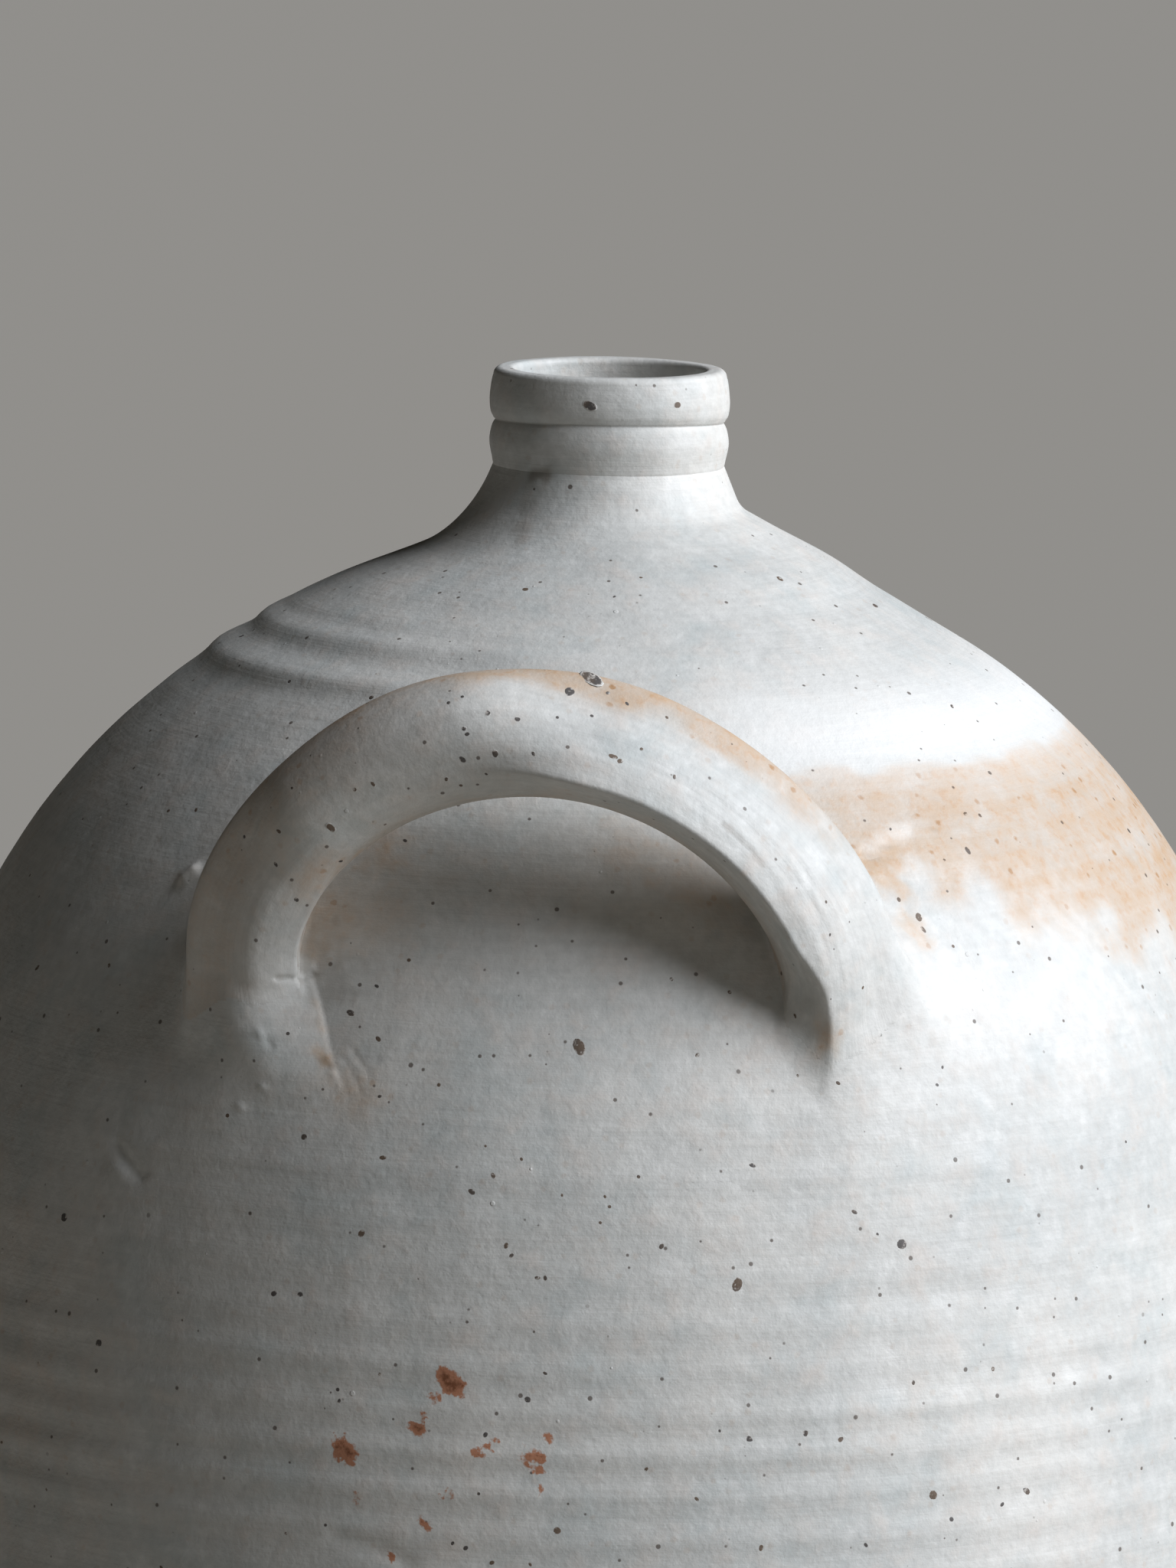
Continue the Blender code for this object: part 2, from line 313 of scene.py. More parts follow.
def ring_relief(azimuth, height):
    """How far the thrown rings stand out."""
    total = np.zeros(len(height))
    for number, (middle, rise, half_width, strongest, spread) in enumerate(RINGS):
        swayed = height - middle * MM - ring_sway * np.sin(azimuth + number)
        near = np.abs(swayed) < 3.5 * half_width * MM
        strength = bell(around(azimuth[near], strongest * DEG), spread * DEG)
        strength *= 0.8 + 0.2 * np.sin(3 * azimuth[near] + 2 * number)
        total[near] += rise * MM * strength * bell(swayed[near], half_width * MM)
    return total


out_of_round = 0.3 * MM
swell_rise = 0.16 * MM
swell_length = 85 * MM
lump_rise = 0.07 * MM
lump_length = 24 * MM
foot_fade_height = 14 * MM

# The jug leans a little: its right shoulder stands higher than its left one, most of all at the neck
shoulder_lean = 1.25 * MM
shoulder_lean_start = 245 * MM
shoulder_lean_full = 300 * MM
shoulder_dip = 0.7 * MM
shoulder_dip_height = 381 * MM
shoulder_dip_half_width = 9 * MM
neck_lean = 1.3 * MM
neck_lean_start = 386 * MM
neck_lean_full = 396 * MM
right_fullness = 0.45 * MM


def lean(azimuth, height):
    """How far the shoulder stands out on the right, and in on the left."""
    side = np.sin(azimuth)
    amount = shoulder_lean * smooth_step(shoulder_lean_start, shoulder_lean_full, height)
    amount += neck_lean * smooth_step(neck_lean_start, neck_lean_full, height)
    amount -= shoulder_dip * bell(height - shoulder_dip_height, shoulder_dip_half_width)
    return side * amount + right_fullness * smooth_step(shoulder_lean_start, shoulder_lean_full, height)


def relief(points):
    """How far the wall stands out from its turned profile, which is the CAD's less a thin skin."""
    azimuth = np.arctan2(points[:, 0], -points[:, 1])
    height = points[:, 2]
    rise = ring_relief(azimuth, height) + lean(azimuth, height) - skin_depth
    rise += out_of_round * (np.sin(2 * azimuth + 0.6) - 1) / 2
    rise += swell_rise * swell(points, swell_length, 3)
    rise += lump_rise * swell(points, lump_length, 5)
    return rise * smooth_step(foot_bevel, foot_fade_height, height)


neck_round_left = 8 * MM
neck_round_right = 1.6 * MM
neck_root_height = neck_base - 9 * MM


def soft_union(first, second, rounding):
    """The distance out of two joined shapes, with a fillet of that rounding between them."""
    return np.minimum(first, second) - np.maximum(rounding - np.abs(first - second), 0) ** 2 / (4 * rounding)


def wall_gap(points):
    """The distance of points out of the wall and the neck, about square to the surface."""
    across = np.hypot(points[:, 0], points[:, 1])
    height = points[:, 2]
    radius = np.interp(height, FIELD_PROFILE[:, 1], FIELD_PROFILE[:, 0])
    facing = np.interp(height, FIELD_PROFILE[:, 1], FIELD_FACING)
    wall = (across - radius) * facing - relief(points)
    taper = (neck_foot_radius - collar_seat_radius) / (collar_base - neck_base)
    neck_radius = neck_foot_radius - taper * (np.maximum(height, neck_root_height) - neck_base)
    neck = (np.hypot(points[:, 0] - neck_offset, points[:, 1]) - neck_radius) / math.hypot(1, taper)
    side = (1 + np.sin(np.arctan2(points[:, 0], -points[:, 1]))) / 2
    rounding = neck_round_left + (neck_round_right - neck_round_left) * side
    return soft_union(wall, neck, rounding)


def settled(points, directions, gap, rounds=6, probe=0.05 * MM):
    """The points moved along their directions until the gap is zero."""
    points = points.copy()
    for _ in range(rounds):
        value = gap(points)
        slope = (gap(points + probe * directions) - value) / probe
        points -= directions * (value / np.maximum(slope, 0.3))[:, None]
    return points


def risen(points, directions, gap, reach, steps=28):
    """How far each point moves out before it leaves the clay, up to its own reach."""
    found = reach.copy()
    before = gap(points)
    found[before >= 0] = 0
    inside = before < 0
    for step in range(1, steps + 1):
        moved = reach * step / steps
        value = gap(points + directions * moved[:, None])
        out = inside & (value >= 0)
        part = before / (before - value + 1e-12)
        found[out] = (moved - reach / steps * (1 - part))[out]
        inside &= value < 0
        before = value
    return found


def turned_grid(profile, normals, azimuths):
    """Rows of points and outward directions, of a profile turned to the given azimuths."""
    across = np.stack([np.sin(azimuths), -np.cos(azimuths)], axis=1)
    points = np.empty((len(profile), len(azimuths), 3))
    directions = np.empty_like(points)
    points[:, :, :2] = profile[:, 0, None, None] * across
    points[:, :, 2] = profile[:, 1, None]
    directions[:, :, :2] = normals[:, 0, None, None] * across
    directions[:, :, 2] = normals[:, 1, None]
    return points, directions


def grid_normals(grid, wrapped=True):
    """Unit normals of a grid of points whose rows run down and whose columns run to the right."""
    down = np.gradient(grid, axis=0)
    if wrapped:
        right = np.roll(grid, -1, axis=1) - np.roll(grid, 1, axis=1)
    else:
        right = np.gradient(grid, axis=1)
    normals = np.cross(down, right)
    return normals / np.linalg.norm(normals, axis=2)[:, :, None]


# Handle
handle_root_height = neck_base - handle_root_drop


def handle_foot(side):
    """Where a leg's middle line reaches the foot level, for side -1 (left) or 1 (right)."""
    height = handle_root_height - side * handle_half_span * math.tan(handle_tilt)
    reach = radius_at(WALL, handle_root_height + handle_clearing_rise) + handle_leg_radius
    return np.array((side * handle_half_span, -math.sqrt(reach**2 - handle_half_span**2), height))


def handle_line():
    """Evenly spaced points along the handle's middle, from the left leg's end to the right one's."""
    left, right = handle_foot(-1), handle_foot(1)
    angle = np.linspace(0, math.pi, 721)
    across = -np.sign(np.cos(angle)) * np.abs(np.cos(angle)) ** (2 / handle_shoulder_share)
    up = np.sin(angle).clip(0) ** (2 / handle_arch_share)
    bow = left + (right - left) * ((1 + across) / 2)[:, None]
    bow += np.outer(up, (0, -handle_lean, handle_rise))
    buried_reach = radius_at(WALL, handle_root_height - handle_leg_length) - handle_leg_depth
    share = np.linspace(0, 1, 61)[1:, None]
    legs = []
    for foot, length in ((left, handle_leg_length), (right, right_leg_length)):
        reach = np.linalg.norm(foot[:2])
        sunk = np.array((foot[0], foot[1], 0)) / reach * (buried_reach - reach)
        if foot[0] > 0:
            sunk = np.array((0, reach - buried_reach, 0))
        legs.append(foot + sunk * share**2 - np.array((0, 0, length)) * share)
    line = np.concatenate([legs[0][::-1], bow, legs[1]])
    thick = handle_leg_radius + (handle_crown_radius - handle_leg_radius) * up**2
    radius = np.concatenate([np.full(60, handle_leg_radius), thick, np.full(60, handle_leg_radius)])
    travelled = np.concatenate([[0], np.cumsum(np.linalg.norm(np.diff(line, axis=0), axis=1))])
    wanted = np.linspace(0, travelled[-1], round(travelled[-1] / handle_step) + 1)
    even = np.stack([np.interp(wanted, travelled, line[:, i]) for i in range(3)], axis=1)
    reach = round(3 * handle_ease / handle_step)
    weights = bell(np.arange(-reach, reach + 1) * handle_step, handle_ease)
    eased = np.stack([np.convolve(even[:, i], weights / weights.sum(), "valid") for i in range(3)], axis=1)
    radius = np.interp(wanted, travelled, radius)
    return eased, radius[reach:-reach], wanted[reach:-reach] - wanted[reach]


LINE, LINE_RADIUS, LINE_LENGTH = handle_line()
ALONG = np.gradient(LINE, axis=0)
ALONG /= np.linalg.norm(ALONG, axis=1)[:, None]
FRONT = np.array((0, -1, 0)) - ALONG * (ALONG @ np.array((0, -1, 0)))[:, None]
FRONT /= np.linalg.norm(FRONT, axis=1)[:, None]
INWARD = np.cross(ALONG, FRONT)

# Grooves that the pulling hand left: the angle round the handle in degrees (0 is the front, 90 the
# inside of the bow), where they start and end as shares of its length, depth and half width in mm
PULLED_GROOVES = [
    (-18, 0.60, 0.90, 0.10, 0.8),
    (-10, 0.50, 0.84, 0.16, 0.6),
    (-4, 0.52, 0.90, 0.30, 0.6),
    (2, 0.50, 0.92, 0.30, 0.7),
    (8, 0.56, 0.88, 0.18, 0.6),
    (-22, 0.30, 0.62, 0.10, 0.9),
    (12, 0.18, 0.45, 0.12, 0.9),
    (-60, 0.34, 0.70, 0.12, 1.2),
    (150, 0.20, 0.80, 0.18, 1.6),
    (-130, 0.15, 0.85, 0.16, 1.6),
]
# The bow is more of a strap than a rod. For each flat on its left leg and on its right half: the angle
# that it faces, how far it turns at the foot, its distance from the middle by the radius, and its
# rounding in mm
LEFT_FLATS = [
    (-25, 0, 0.58, 2.0),
    (0, 0, 0.75, 1.0),
    (13, 0, 0.829, 1.5),
    (26, 0, 0.926, 1.2),
    (90, 0, 0.965, 0.6),
]
RIGHT_FLATS = [
    (-28, 0, 0.81, 1.2),
    (-50, 0, 0.61, 2.5),
    (65, -48, 0.98, 0.6),
]
# The shares of the length between which the flats come in, then the angle, the rise in mm and the half
# width of the corner that stands out
STRAPS = [
    (0.27, 0.17, 58, 2.2, 22, LEFT_FLATS),
    (0.43, 0.57, 24, 6.0, 25, RIGHT_FLATS),
]
strap_turn_start = 0.85
strap_turn_end = 0.99
handle_oval_share = 0.022
handle_flat_share = 0.02
handle_swell_rise = 0.28 * MM
handle_swell_length = 46 * MM


def handle_relief(points, share, angle, radius):
    """How far the handle's skin stands out from a round rod."""
    rise = radius * handle_oval_share * np.cos(2 * angle)
    rise -= radius * handle_flat_share * bell(around(angle, 100 * DEG), 40 * DEG)
    rise += handle_swell_rise * swell(points, handle_swell_length, 11)
    for start, full, corner, height, half_width, flats in STRAPS:
        section = radius + height * MM * bell(around(angle, corner * DEG), half_width * DEG)
        for faced, turn, reach, rounding in flats:
            faced = faced + turn * smooth_step(strap_turn_start, strap_turn_end, share)
            flat = reach * radius / np.cos(around(angle, faced * DEG)).clip(0.15)
            section = soft_union(section, flat, rounding * MM)
        rise += (section - radius) * smooth_step(start, full, share)
    for middle, start, end, depth, half_width in PULLED_GROOVES:
        window = smooth_step(start, start + 0.08, share) * (1 - smooth_step(end - 0.08, end, share))
        across = around(angle, middle * DEG + 0.25 * (share - (start + end) / 2))
        rise -= depth * MM * window * bell(across * radius, half_width * MM)
    return rise


def handle_gap(points, ends=(0, None)):
    """The distance of points out of the handle, measured from a stretch of its line."""
    line = LINE[ends[0] : ends[1]]
    nearest = np.argmin(((points[:, None, :] - line[None]) ** 2).sum(axis=2), axis=1) + ends[0]
    offset = points - LINE[nearest]
    ahead = (offset * ALONG[nearest]).sum(axis=1)
    square = offset - ahead[:, None] * ALONG[nearest]
    angle = np.arctan2((square * INWARD[nearest]).sum(axis=1), (square * FRONT[nearest]).sum(axis=1))
    radius = LINE_RADIUS[nearest]
    share = (LINE_LENGTH[nearest] + ahead) / LINE_LENGTH[-1]
    return np.linalg.norm(square, axis=1) - radius - handle_relief(points, share, angle, radius)


# The fillet where the left (-1) and the right (1) leg meet the wall: on the lower, the upper, the outer
# and the inner side of the leg
ROUNDINGS = {
    -1: (8 * MM, 5 * MM, 12 * MM, 0.7 * MM),
    1: (9 * MM, 8 * MM, 20 * MM, 2.4 * MM),
}
rounding_core = 8 * MM


def beside_foot(points, side):
    """Places beside a foot: out to its own side, and up, both in metres."""
    foot = handle_foot(side)
    outward = foot[:2] / np.linalg.norm(foot[:2])
    outer = np.array((-outward[1], outward[0])) * side
    return (points[:, :2] - foot[:2]) @ outer, points[:, 2] - foot[2]


def root_rounding(points, side):
    """The fillet's rounding at places round a foot."""
    out, up = beside_foot(points, side)
    below, above, outside, inside = ROUNDINGS[side]
    total = np.where(up < 0, below, above) * up**2 + np.where(out > 0, outside, inside) * out**2
    return (total + inside * rounding_core**2) / (up**2 + out**2 + rounding_core**2)


# The clay pressed on round each foot: rise on the left and the right, half width, half length and drop
# below the foot level
mound_rises = {-1: 2.2 * MM, 1: 1.5 * MM}
mound_half_width = 15 * MM
mound_half_length = 19 * MM
mound_drop = 15 * MM

# The left pad's flat face climbs leftwards from a crisp edge. From the bottom up: a pixel of the
# photograph on that edge, and the face's slope there
PAD_EDGE_SIGHTS = [
    ((448, 1424), 0.06),
    ((441, 1410), 0.11),
    ((430, 1380), 0.20),
    ((425, 1353), 0.27),
    ((419, 1325), 0.31),
    ((412, 1297), 0.36),
]
# The edge below and above them: its azimuth in degrees, its height in mm and the slope
pad_top = 318.6
PAD_EDGE_FOOT = (-15.0, 293.0, 0.0)
PAD_EDGE_HEAD = [(-21.0, pad_top, 0.40), (-21.2, 324.0, 0.30), (-21.2, 330.0, 0.0)]
PAD_EDGE = []
pad_edge_rise = 0.12 * MM
pad_edge_half_width = 0.4 * MM
pad_face_width = 14 * MM
pad_face_rounding = 8 * MM
pad_face_fall = 12 * MM
pad_top_width = 1.8
pad_top_full = 5 * MM
pad_top_end = 9 * MM
pad_cut_top = 325
pad_cut_foot = 319
pad_lip_full = 318
pad_lip_end = 322
mound_share_past_edge = 0.25


def mound(points, side):
    """How far the clay pressed on round a foot stands out, with the left pad's flat face."""
    out, up = beside_foot(points, side)
    rise = mound_rises[side] * bell(out, mound_half_width) * bell(up + mound_drop, mound_half_length)
    if side > 0:
        return rise
    azimuths, heights, slopes = np.array(PAD_EDGE).T
    height = points[:, 2] / MM
    edge = np.interp(height, heights, azimuths) * DEG
    inward = (edge - np.arctan2(points[:, 0], -points[:, 1])) * np.hypot(points[:, 0], points[:, 1])
    past_edge = smooth_step(-pad_edge_half_width, pad_edge_half_width, inward)
    slope = np.interp(height, heights, slopes)
    beyond = inward - pad_face_width
    run = inward.clip(0) - (beyond + np.hypot(beyond, pad_face_rounding)) / 2
    run += (math.hypot(pad_face_width, pad_face_rounding) - pad_face_width) / 2
    above = smooth_step(pad_top, pad_top + pad_top_width, height)
    above *= smooth_step(pad_top_end, pad_top_full, inward)
    face = slope * run.clip(0) * bell(beyond.clip(0), pad_face_fall) * (inward > 0) * (1 - above)
    lip = pad_edge_rise * past_edge * bell(inward.clip(0), pad_face_width) * (1 - above)
    lip *= smooth_step(heights[0], heights[3], height) * smooth_step(pad_lip_end, pad_lip_full, height)
    cut = (1 - mound_share_past_edge) * (1 - past_edge) * smooth_step(pad_cut_top, pad_cut_foot, height)
    return rise * (1 - cut) + face + lip


# The patch of skin that each pad of clay at a root makes
root_ring_count = round(100 * MM / handle_step)
root_half_width = 36 * MM
root_reach_up = 31 * MM
root_reach_down = 60 * MM
root_lift = 0.02 * MM
root_back_depth = 1.5 * MM
patch_sink = 0.7 * MM
handle_end_depth = 5 * MM
fillet_overrun_share = 1.15
window_full = 0.72
window_end = 0.97


def root_window(points, side):
    """1 in the middle of a root's patch and 0 at its border."""
    out, up = beside_foot(points, side)
    middle = (root_reach_up - root_reach_down) / 2
    half_height = (root_reach_up + root_reach_down) / 2
    away = np.hypot(out / root_half_width, (up - middle) / half_height)
    return 1 - smooth_step(window_full, window_end, away)


def root_wall_gap(points, side):
    """The distance out of the wall with the pad of one foot on it."""
    window = root_window(points, side)
    return wall_gap(points) - mound(points, side) * window - root_lift * (2 * window - 1)


def sunk_wall_gap(points):
    """The wall's gap, with the wall sunk a little under the two pads that cover it."""
    cover = np.maximum(root_window(points, -1), root_window(points, 1))
    return wall_gap(points) + patch_sink * cover * (points[:, 1] < 0)


def handle_end(side):
    """The stretch of the handle's line that can meet the wall at one root."""
    return (0, root_ring_count) if side < 0 else (-root_ring_count, None)


def root_gap(points, side):
    """The distance out of the wall, its pad and the handle together, near one root."""
    rounding = root_rounding(points, side)
    return soft_union(root_wall_gap(points, side), handle_gap(points, handle_end(side)), rounding)


# Marks in the clay: half width and depth in mm (a raised mark's depth is negative), and the pixels of
# the photograph that the mark runs through
MARKS = [
    (0.55, 0.7, [(362, 1279), (380, 1278), (396, 1276), (409, 1273)]),
    (0.6, -0.35, [(398, 1268), (409, 1266)]),
    (0.7, 0.14, [(461, 1371), (470, 1387), (488, 1408), (498, 1433)]),
    (0.7, 0.08, [(448, 1384), (462, 1404), (470, 1424)]),
    (0.8, -0.12, [(433, 1399), (442, 1417)]),
    (0.8, -0.3, [(338, 1347), (341, 1352)]),
    (0.8, 0.25, [(350, 1360), (354, 1366)]),
    (0.8, -0.3, [(341, 1419), (345, 1420)]),
    (0.9, -0.3, [(312, 1444), (316, 1446)]),
    (1.7, -1.2, [(243, 1147), (254, 1138)]),
    (1.1, -0.7, [(146, 1172), (149, 1163)]),
    (1.0, -0.7, [(171, 1124), (174, 1122)]),
    (1.0, 0.7, [(1132, 1117), (1152, 1108), (1174, 1100), (1198, 1092), (1224, 1083)]),
    (2.0, -0.16, [(1140, 1102), (1168, 1084), (1200, 1076)]),
    (3.4, -0.3, [(1146, 1146), (1164, 1126), (1204, 1110)]),
    (0.8, 0.2, [(1165, 1088), (1190, 1078), (1222, 1068)]),
    (0.8, 0.18, [(1150, 1084), (1176, 1068), (1210, 1058)]),
    (0.8, 0.14, [(1140, 1070), (1170, 1052), (1206, 1044), (1240, 1046)]),
    (0.8, 0.12, [(1050, 1130), (1062, 1180), (1076, 1230), (1088, 1280), (1088, 1320)]),
    (0.8, 0.12, [(1072, 1190), (1088, 1240), (1098, 1280), (1094, 1322)]),
    (0.9, 0.14, [(900, 1040), (940, 1074), (978, 1112), (1001, 1140), (1022, 1176)]),
    (0.9, 0.10, [(930, 1040), (965, 1070), (1000, 1110), (1030, 1150)]),
    (1.8, 0.45, [(440, 2007), (480, 2018), (532, 2040)]),
    (1.7, 0.45, [(154, 1495), (170, 1518), (184, 1536)]),
    (1.6, -0.4, [(148, 1524), (160, 1532)]),
    (1.6, 0.25, [(1033, 1704), (1120, 1697), (1200, 1690), (1270, 1684)]),
    (1.6, 0.2, [(850, 1787), (890, 1790), (932, 1792)]),
    (1.8, 0.35, [(1396, 1782), (1418, 1776), (1436, 1770)]),
]
SCORED = []


def run_distance(points, places):
    """The distance of points from a run of straight stretches between places."""
    distance = np.full(len(points), 1.0)
    for start, end in zip(places[:-1], places[1:]):
        run = end - start
        t = np.clip(((points - start) @ run) / (run @ run), 0, 1)
        distance = np.minimum(distance, np.linalg.norm(points - start - t[:, None] * run, axis=1))
    return distance


def near_run(points, places, reach):
    """Which points lie in the box round a run, widened by the reach."""
    return ((points > places.min(axis=0) - reach) & (points < places.max(axis=0) + reach)).all(axis=1)


def scored(points, step):
    """How deep the marks that this step can show cut into the clay at the points."""
    depth = np.zeros(len(points))
    for half_width, deepest, places in SCORED:
        near = near_run(points, places, 3 * half_width)
        if near.any() and half_width >= step * 0.7:
            depth[near] += deepest * bell(run_distance(points[near], places), half_width)
    return depth


sight_before = 308 * MM
sight_beyond = 142 * MM
sight_reach = np.linspace(camera_distance - sight_before, camera_distance + sight_beyond, 1801)


def turned_gap(points):
    """The distance of points out of the wall as it was turned, with nothing on it."""
    return np.hypot(points[:, 0], points[:, 1]) - radius_at(WALL, points[:, 2])


def clay_gap(points):
    """The distance of points out of the wall with both pads and the handle."""
    return np.minimum(root_gap(points, -1), root_gap(points, 1))


def met(camera, pixel, gap):
    """The first place inside the gap's clay along the line of sight through a pixel."""
    start, direction = sight(camera, pixel)
    points = np.array(start) + np.outer(sight_reach, np.array(direction))
    return points[np.argmax(gap(points) < 0)]


def pad_edge(camera):
    """The left pad's edge from the bottom up, as (azimuth in degrees, height in mm, slope)."""
    seen = []
    for pixel, slope in PAD_EDGE_SIGHTS:
        x, y, z = met(camera, pixel, turned_gap)
        seen.append((round(math.atan2(x, -y) / DEG, 1), round(z / MM, 1), slope))
    return [PAD_EDGE_FOOT, *seen, *PAD_EDGE_HEAD]


def mesh_piece(name, vertices, faces, material, normals=None):
    """A smooth piece at the origin; a normal of zero length is left to Blender."""
    mesh = bpy.data.meshes.new(name)
    mesh.from_pydata(vertices.tolist(), [], faces)
    mesh.shade_smooth()
    if normals is not None:
        mesh.normals_split_custom_set_from_vertices(normals.tolist())
    mesh.materials.append(material)
    return in_scene(name, mesh)


def quads(rows, columns, wrap_rows=False, wrap_columns=True):
    """Faces of a grid whose rows run down the outside and whose columns run to the right."""
    down = np.arange(rows if wrap_rows else rows - 1)[:, None]
    right = np.arange(columns if wrap_columns else columns - 1)[None, :]
    below, beside = (down + 1) % rows, (right + 1) % columns
    corners = [down * columns + right, below * columns + right]
    corners += [below * columns + beside, down * columns + beside]
    return np.stack(corners, axis=2).reshape(-1, 4).tolist()


def ring_piece(name, outer, normals, inner_profile, inner_centre, azimuths, material):
    """A ring of clay: fine rows down its outside and coarse rows back up its hidden inside."""
    inner, inward = turned_grid(inner_profile, profile_normals(inner_profile), azimuths)
    inner[:, :, 0] += inner_centre
    grid = np.concatenate([outer, inner])
    facing = np.concatenate([normals, inward]).reshape(-1, 3)
    faces = quads(len(grid), len(azimuths), wrap_rows=True)
    return mesh_piece(name, grid.reshape(-1, 3), faces, material, facing)


def wall_start():
    """The profile from the collar's seat down to the foot, eased where the neck meets the wall."""
    run = np.array((neck_foot_radius - collar_seat_radius, neck_base - collar_base))
    down_neck = np.linspace(0, 1, 200)[:, None] * run + (collar_seat_radius, collar_base)
    shoulder = WALL[WALL[:, 0] > neck_seat_radius + neck_round]
    straight = np.linalg.norm(down_neck - down_neck[0], axis=1) < np.linalg.norm(run) - neck_round
    start, end = down_neck[straight][-1], shoulder[0]
    corner = np.array((neck_foot_radius + MM, neck_base + MM))
    eased = cubic(start, (start + 2 * corner) / 3, (end + 2 * corner) / 3, end, 60)
    return np.concatenate([down_neck[straight], eased[1:], shoulder[1:]])


def skin_profile(profile, seams):
    """Even rows between seam heights, fine on the neck, and the row number of each seam."""
    rows, seam_rows = [profile[:1]], [0]
    for top, bottom in zip(seams[:-1], seams[1:]):
        step = neck_step if top == collar_base else wall_step
        step = foot_step if top == slab_top else step
        part = evenly(clipped(profile, top, bottom), step)
        rows.append(part[1:])
        seam_rows.append(seam_rows[-1] + len(part) - 1)
    return np.concatenate(rows), seam_rows


def wall_skin():
    """The whole outer skin of the neck and the body as one grid, with its normals and seam rows."""
    seams = (collar_base, neck_base, shoulder_base, belly_base, slab_top, foot_bevel)
    profile, seam_rows = skin_profile(wall_start(), seams)
    azimuths = np.arange(wall_columns) * (math.tau / wall_columns)
    grid, directions = turned_grid(profile, profile_normals(profile), azimuths)
    on_neck = 1 - smooth_step(neck_seat_radius, 2 * neck_seat_radius, profile[:, 0])
    grid[:, :, 0] += (neck_offset * on_neck)[:, None]
    flat = settled(grid.reshape(-1, 3), directions.reshape(-1, 3), sunk_wall_gap)
    flat -= directions.reshape(-1, 3) * scored(flat, wall_step)[:, None]
    grid = flat.reshape(grid.shape)
    for seam, height in zip(seam_rows, seams):
        grid[seam, :, 2] += (height - grid[seam, :, 2]) * (seam == 0)
    return grid, grid_normals(grid), seam_rows, azimuths


# Sole: the flat underside with the marks of the wire that cut the pot from the wheel
wire_mark_rise = 0.3 * MM
wire_mark_spacing = 3.2 * MM
wire_turn = 34 * DEG
wire_mark_fade = 5 * MM
sole_inset = 0.4 * MM


def sole_points(azimuths, rim):
    """Rows from the foot's rim to the middle of the sole, and the wire's shallow arcs in it."""
    bevel_radii = foot_radius - foot_bevel * np.linspace(0, 1, 6)[1:]
    bevel_heights = foot_bevel * (1 - np.linspace(0, 1, 6)[1:])
    inner_radii = np.arange(bevel_radii[-1] - sole_inset, sole_step, -sole_step)
    radii = np.concatenate([bevel_radii, inner_radii])
    heights = np.concatenate([bevel_heights, np.zeros(len(inner_radii))])
    profile = np.stack([radii, heights], axis=1)
    grid = turned_grid(profile, profile, azimuths)[0]
    across = grid[:, :, 0] * math.cos(wire_turn) + grid[:, :, 1] * math.sin(wire_turn)
    along = grid[:, :, 1] * math.cos(wire_turn) - grid[:, :, 0] * math.sin(wire_turn)
    bowed = across + along**2 / (4 * rim)
    marks = np.maximum(np.sin(bowed * (math.tau / wire_mark_spacing)), 0) * wire_mark_rise
    fade = smooth_step(0, wire_mark_fade, bevel_radii[-1] - profile[:, 0])
    grid[:, :, 2] += marks * fade[:, None]
    return grid


def wall_pieces(materials):
    """The neck and the four sections of the body."""
    grid, normals, seams, azimuths = wall_skin()
    pieces = {}
    for name, first, last in zip(WALL_NAMES, seams[:-2], seams[1:]):
        columns = slice(None, None, wall_columns // neck_columns if name == "neck" else 1)
        outer, facing = grid[first : last + 1, columns], normals[first : last + 1, columns]
        top, bottom = outer[0, 0, 2], outer[-1, 0, 2]
        if name == "neck":
            inside = np.array([(bore_radius, neck_base), (bore_radius, collar_base)])
            centre = neck_offset
        else:
            inner = clipped(INNER_WALL, min(top, INNER_WALL[0, 1]), bottom)[::-1]
            inside = evenly(inner, inner_step)
            if name == "shoulder_wall":
                throat = neck_base - throat_depth
                flare = [(bore_radius + throat_flare, throat), (bore_radius, throat + throat_flare)]
                inside = np.concatenate([inside, flare, [(bore_radius, neck_base)]])
            centre = 0
        made = ring_piece(name, outer, facing, inside, centre, azimuths[columns], materials[name])
        pieces[name] = made
    slab_outer, slab_facing = grid[seams[-2] :], normals[seams[-2] :]
    sole = sole_points(azimuths, foot_radius)
    whole = np.concatenate([slab_outer, sole])
    facing = grid_normals(whole)
    facing[: len(slab_outer) - 1] = slab_facing[:-1]
    count = len(azimuths)
    vertices = np.concatenate([[(0, 0, slab_top)], whole.reshape(-1, 3), [(0, 0, 0)]])
    faces = [[corner + 1 for corner in face] for face in quads(len(whole), count)]
    faces += [[0, 1 + i, 1 + (i + 1) % count] for i in range(count)]
    end, last_row = len(vertices) - 1, 1 + (len(whole) - 1) * count
    faces += [[end, last_row + (i + 1) % count, last_row + i] for i in range(count)]
    facing = np.concatenate([[(0, 0, 0)], facing.reshape(-1, 3), [(0, 0, -1)]])
    pieces["base_slab"] = mesh_piece("base_slab", vertices, faces, materials["base_slab"], facing)
    return pieces


